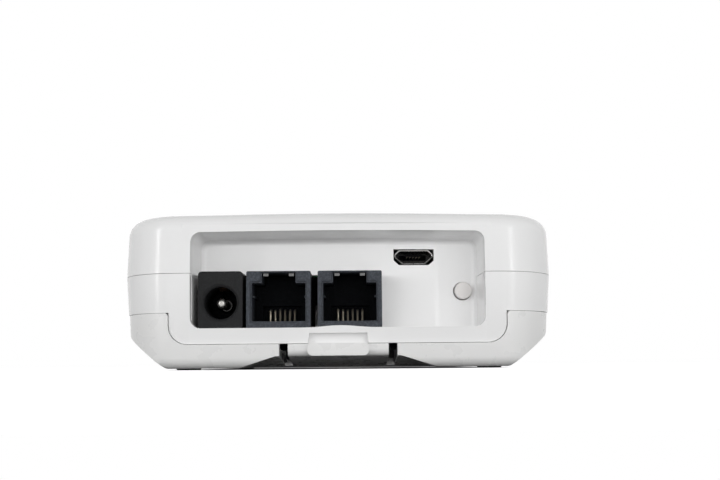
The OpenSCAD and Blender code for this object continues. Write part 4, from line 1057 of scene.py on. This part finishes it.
def ceramic():
    """Ground zirconia: faint grinding rings and a dense gloss."""
    r = Recipe("ceramic", (0.82, 0.81, 0.78), 0.2, ior=2.1)
    r.paint(r.spread(r.noise(1200, 2), 0.4, 0.7), (0.74, 0.73, 0.7))
    r.polish(r.noise(2600, 2), 0.16, 0.28)
    r.bump(r.noise(6000, 1), 0.002 * MM, 0.5)
    return r.mat


def emitter():
    """Pale phosphor-filled lamp body with a yellower middle."""
    r = Recipe("led_body", (0.8, 0.78, 0.62), 0.4)
    r.paint(r.spread(r.noise(1500, 2), 0.45, 0.65), (0.85, 0.7, 0.3))
    r.polish(r.noise(2500, 2), 0.34, 0.5)
    r.bump(r.noise(4200, 2), 0.006 * MM, 0.6)
    return r.mat


# Spans along Y over which painted shade takes the socket faces, the USB tongue, the pin and the USB shell to
# near black.
SOCKET_PAINTED_SHADE = (dc_low[1] + 0.8 * MM, dc_low[1] + 6.0 * MM)
PIN_PAINTED_SHADE = (dc_low[1] + 3.5 * MM, dc_low[1] + 10.5 * MM)
SHELL_PAINTED_SHADE = (usb_low[1] + 0.2 * MM, usb_low[1] + 0.9 * MM)
MATERIALS = {
    "case_white": moulded_white("case_white", (0.735, 0.735, 0.735), 0.19, (0.86, 0.86, 0.86)),
    "tray_white": moulded_white("tray_white", (0.715, 0.715, 0.71), 0.28),
    "button_white": moulded_white("button_white", (0.8, 0.775, 0.76), 0.36),
    "cap_white": moulded_white("cap_white", (0.74, 0.735, 0.71), 0.5),
    "port_black": moulded_dark("port_black", (0.012, 0.0122, 0.0128), 0.42, lift=1.3, depth=SOCKET_PAINTED_SHADE,
                               sheen=0.12),
    "jack_black": moulded_dark("jack_black", (0.022, 0.025, 0.031), 0.46, lift=2.1, speck=0.08,
                               depth=SOCKET_PAINTED_SHADE),
    "chip_black": moulded_dark("chip_black", (0.018, 0.018, 0.02), 0.5, lift=1.6),
    "sink_black": moulded_dark("sink_black", (0.03, 0.03, 0.034), 0.38, grain=4200.0, lift=1.4),
    "connector_green": moulded_dark("connector_green", (0.02, 0.26, 0.1), 0.4, speck=0.02, lift=1.2),
    "nickel": plated("nickel", (0.66, 0.65, 0.63), 0.24, (1, 12, 1)),
    "shell_nickel": plated("shell_nickel", (0.66, 0.65, 0.63), 0.24, (1, 12, 1), depth=SHELL_PAINTED_SHADE),
    # Painted shade: nickel darkened to 0.17 so the shield tabs look dim inside the notch instead of mirroring
    # the white world.
    "shield_nickel_painted_shade": plated("shield_nickel_painted_shade", (0.17, 0.17, 0.17), 0.4),
    "pin_nickel": plated("pin_nickel", (0.5, 0.49, 0.47), 0.34, depth=PIN_PAINTED_SHADE),
    "copper_contact": plated("copper_contact", (0.62, 0.32, 0.2), 0.3, (1, 12, 1), 0.75),
    "gold_contact": plated("gold_contact", (0.5, 0.45, 0.36), 0.4, (1, 14, 1), 0.8),
    "can_metal": plated("can_metal", (0.58, 0.58, 0.6), 0.3, (1, 1, 16)),
    "screw_steel": plated("screw_steel", (0.5, 0.5, 0.51), 0.34),
    "board_green": solder_mask(),
    "foot_rubber": rubber(),
    "clear_plastic": clear_plastic(),
    "ceramic": ceramic(),
    "led_body": emitter(),
}


# ---- pieces on their bodies

def dress(piece, body, slot, *nodes, finish=None):
    """Puts a finished piece on its body, in its finish, in place of its CAD nodes."""
    piece.data.materials.clear()
    piece.data.materials.append(MATERIALS[finish or slot])
    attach(piece, body)
    if nodes:
        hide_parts(*nodes)
    return piece


def dress_nodes():
    """CAD nodes that nothing replaces keep their shape and take their slot's finish."""
    for part in frame["record"]["subparts"]:
        obj = frame["nodes"][part["node"]]
        obj.data.materials.clear()
        obj.data.materials.append(MATERIALS[part["material_slot"]])


dress_nodes()
dress(build_top_cover(), "case", "case_white", "top_cover")
dress(build_lower_housing(), "case", "case_white", "lower_housing")
dress(build_tray(), "case", "tray_white", "fibre_tray")
dress(build_latch(), "latch", "tray_white", "tray_latch")
dress(build_feet(), "case", "foot_rubber", "rubber_feet")
dress(build_power_jack(), "case", "port_black", "dc_jack")
dress(build_power_pin(), "case", "nickel", "dc_jack_pin", finish="pin_nickel")
for side in ("left", "right"):
    dress(build_modular_jack(side), "case", "jack_black", "modular_jack_" + side)
    dress(build_jack_wires(side), "case", "gold_contact", "jack_contacts_" + side)
    dress(build_jack_shield(side), "case", "nickel", finish="shield_nickel_painted_shade")
dress(build_usb_shell(), "case", "nickel", "usb_shell", finish="shell_nickel")
dress(build_usb_tongue(), "case", "port_black", "usb_tongue")
dress(build_usb_contacts(), "case", "gold_contact")
dress(build_button(), "button", "button_white", "reset_button")
dress(build_dust_cap(), "cap", "cap_white", "dust_cap")
dress(build_receptacle(), "case", "connector_green", "sc_receptacle")
dress(build_light_guide(), "case", "clear_plastic", "light_pipe")


# ---- camera

def set_camera():
    """Just above the table in front of the sockets, a little to their right, tilted up."""
    data = bpy.data.cameras.new("camera")
    data.lens = 41.5
    data.sensor_width = 36.0
    data.clip_start = 0.01
    cam = bpy.data.objects.new("camera", data)
    bpy.context.scene.collection.objects.link(cam)
    data.shift_x = -0.0126
    data.shift_y = 0.0722
    place = Matrix.Translation((3.5 * MM, FRONT - 160 * MM, 0.8 * MM))
    turn = Matrix.Rotation(math.radians(-0.9), 4, "Z") @ Matrix.Rotation(math.radians(90 + 5), 4, "X")
    cam.matrix_world = place @ turn @ Matrix.Rotation(math.radians(-0.5), 4, "Z")
    bpy.context.scene.camera = cam


# ---- floor and light

def backdrop_share(tree):
    """1 for camera, mirror and clear rays, 0 for the diffuse rays that light the object."""
    path = tree.nodes.new("ShaderNodeLightPath")
    share = path.outputs["Is Camera Ray"]
    for name in ("Is Glossy Ray", "Is Transmission Ray"):
        share = maths(tree, "MAXIMUM", share, path.outputs[name])
    return share


def painted_floor_shadow(tree, start, end, most):
    """Painted floor shadow: 0 under the tray, rising to most on the floor round it as the larger of |x| -
    half width and |y - middle| - half length goes from start to end."""
    where = tree.nodes.new("ShaderNodeSeparateXYZ")
    tree.links.new(tree.nodes.new("ShaderNodeTexCoord").outputs["Object"], where.inputs[0])
    reach = []
    for axis, middle, half in (("X", 0.0, FLAT_HALF + 3 * MM), ("Y", (FRONT + REAR) / 2, (REAR - FRONT) / 2)):
        far = where.outputs[axis]
        for operation, number in (("SUBTRACT", middle), ("ABSOLUTE", 0.0), ("SUBTRACT", half)):
            far = maths(tree, operation, far, number)
        reach.append(far)
    share = tree.nodes.new("ShaderNodeMapRange")
    tree.links.new(maths(tree, "MAXIMUM", *reach), share.inputs["Value"])
    for key, number in (("From Min", start), ("From Max", end), ("To Min", 0.0), ("To Max", most)):
        share.inputs[key].default_value = number
    return share.outputs[0]


def join_backdrop(tree, output, lit, seen):
    """Joins a shader that lights the object and one that is seen behind it into the output."""
    out = tree.nodes.new(output)
    mix = tree.nodes.new("ShaderNodeMixShader")
    for socket, link in zip(mix.inputs, (backdrop_share(tree), lit.outputs[0], seen.outputs[0])):
        tree.links.new(link, socket)
    tree.links.new(mix.outputs[0], out.inputs["Surface"])


def set_floor():
    """Wide pale floor: white to the camera but for its shadow, grey to bounced light. Its shadow under the
    tray is partly painted: the glow seen by camera and mirror rays fades out under the tray, and the grey
    seen by bounced light is black there, rising to 0.8 at 30 mm round it.
    """
    half = 6.0
    floor = make_mesh("floor", [(-half, -half, 0), (half, -half, 0), (half, half, 0), (-half, half, 0)],
                      [(0, 1, 2, 3)])
    mat = bpy.data.materials.new("floor")
    mat.use_nodes = True
    tree = mat.node_tree
    tree.nodes.clear()
    grey = tree.nodes.new("ShaderNodeBsdfDiffuse")
    # Painted shadow: bounced light sees the floor black under the tray, rising to 0.8 at 30 mm round it.
    tree.links.new(painted_floor_shadow(tree, 0.0, 30 * MM, 0.8), grey.inputs["Color"])
    pale = tree.nodes.new("ShaderNodeBsdfDiffuse")
    pale.inputs["Color"].default_value = (0.8, 0.8, 0.8, 1)
    glow = tree.nodes.new("ShaderNodeEmission")
    # Painted shadow: the glow falls from 0.75 at the tray's edge to 0 at 4 mm under it.
    tree.links.new(painted_floor_shadow(tree, -4 * MM, 0.0, 0.75), glow.inputs["Strength"])
    seen = tree.nodes.new("ShaderNodeAddShader")
    tree.links.new(pale.outputs[0], seen.inputs[0])
    tree.links.new(glow.outputs[0], seen.inputs[1])
    join_backdrop(tree, "ShaderNodeOutputMaterial", grey, seen)
    floor.data.materials.append(mat)


def set_world():
    world = bpy.data.worlds.new("studio")
    bpy.context.scene.world = world
    world.use_nodes = True
    tree = world.node_tree
    tree.nodes.clear()
    soft = tree.nodes.new("ShaderNodeBackground")
    soft.inputs["Color"].default_value = (1, 1, 1, 1)
    soft.inputs["Strength"].default_value = 0.26
    white = tree.nodes.new("ShaderNodeBackground")
    white.inputs["Color"].default_value = (1, 1, 1, 1)
    join_backdrop(tree, "ShaderNodeOutputWorld", soft, white)


def add_panel(name, turn, height, distance, size, power, mirrored=True):
    """Rectangular lamp at a compass turn from the sockets' side, aimed at the middle of the front."""
    target = np.array([0, FRONT, 16 * MM])
    a = math.radians(turn)
    place = target + distance * np.array([math.sin(a), -math.cos(a), 0]) + np.array([0, 0, height])
    data = bpy.data.lights.new(name, "AREA")
    data.shape = "RECTANGLE"
    data.size, data.size_y = size
    data.energy = power
    lamp = bpy.data.objects.new(name, data)
    bpy.context.scene.collection.objects.link(lamp)
    lamp.visible_glossy = mirrored
    back = place - target
    back /= np.linalg.norm(back)
    side = np.cross([0, 0, 1.0], back)
    side /= np.linalg.norm(side)
    up = np.cross(back, side)
    lamp.matrix_world = Matrix(np.vstack([np.column_stack([side, up, back, place]), [0, 0, 0, 1]]).tolist())


set_camera()
set_floor()
set_world()
add_panel("front_softbox", 0, 0.06, 1.0, (1.2, 0.13), 2.6, mirrored=False)
add_panel("left_softbox", -45, 0.06, 0.9, (1.1, 0.13), 1.8, mirrored=False)
add_panel("right_softbox", 45, 0.06, 0.9, (1.1, 0.13), 2.4, mirrored=False)
add_panel("left_strip", -50, 0.14, 0.74, (0.02, 0.6), 1.0)
add_panel("right_strip", 37, 0.14, 0.74, (0.02, 0.6), 0.8)
add_panel("top_panel", 5, 0.75, 0.6, (0.7, 0.5), 1.0, mirrored=False)
add_panel("rear_softbox_left", -168, 0.3, 0.9, (0.7, 0.4), 0.9, mirrored=False)
add_panel("rear_softbox_right", 168, 0.3, 0.9, (0.7, 0.4), 0.9, mirrored=False)
bpy.context.scene.view_settings.view_transform = "Standard"
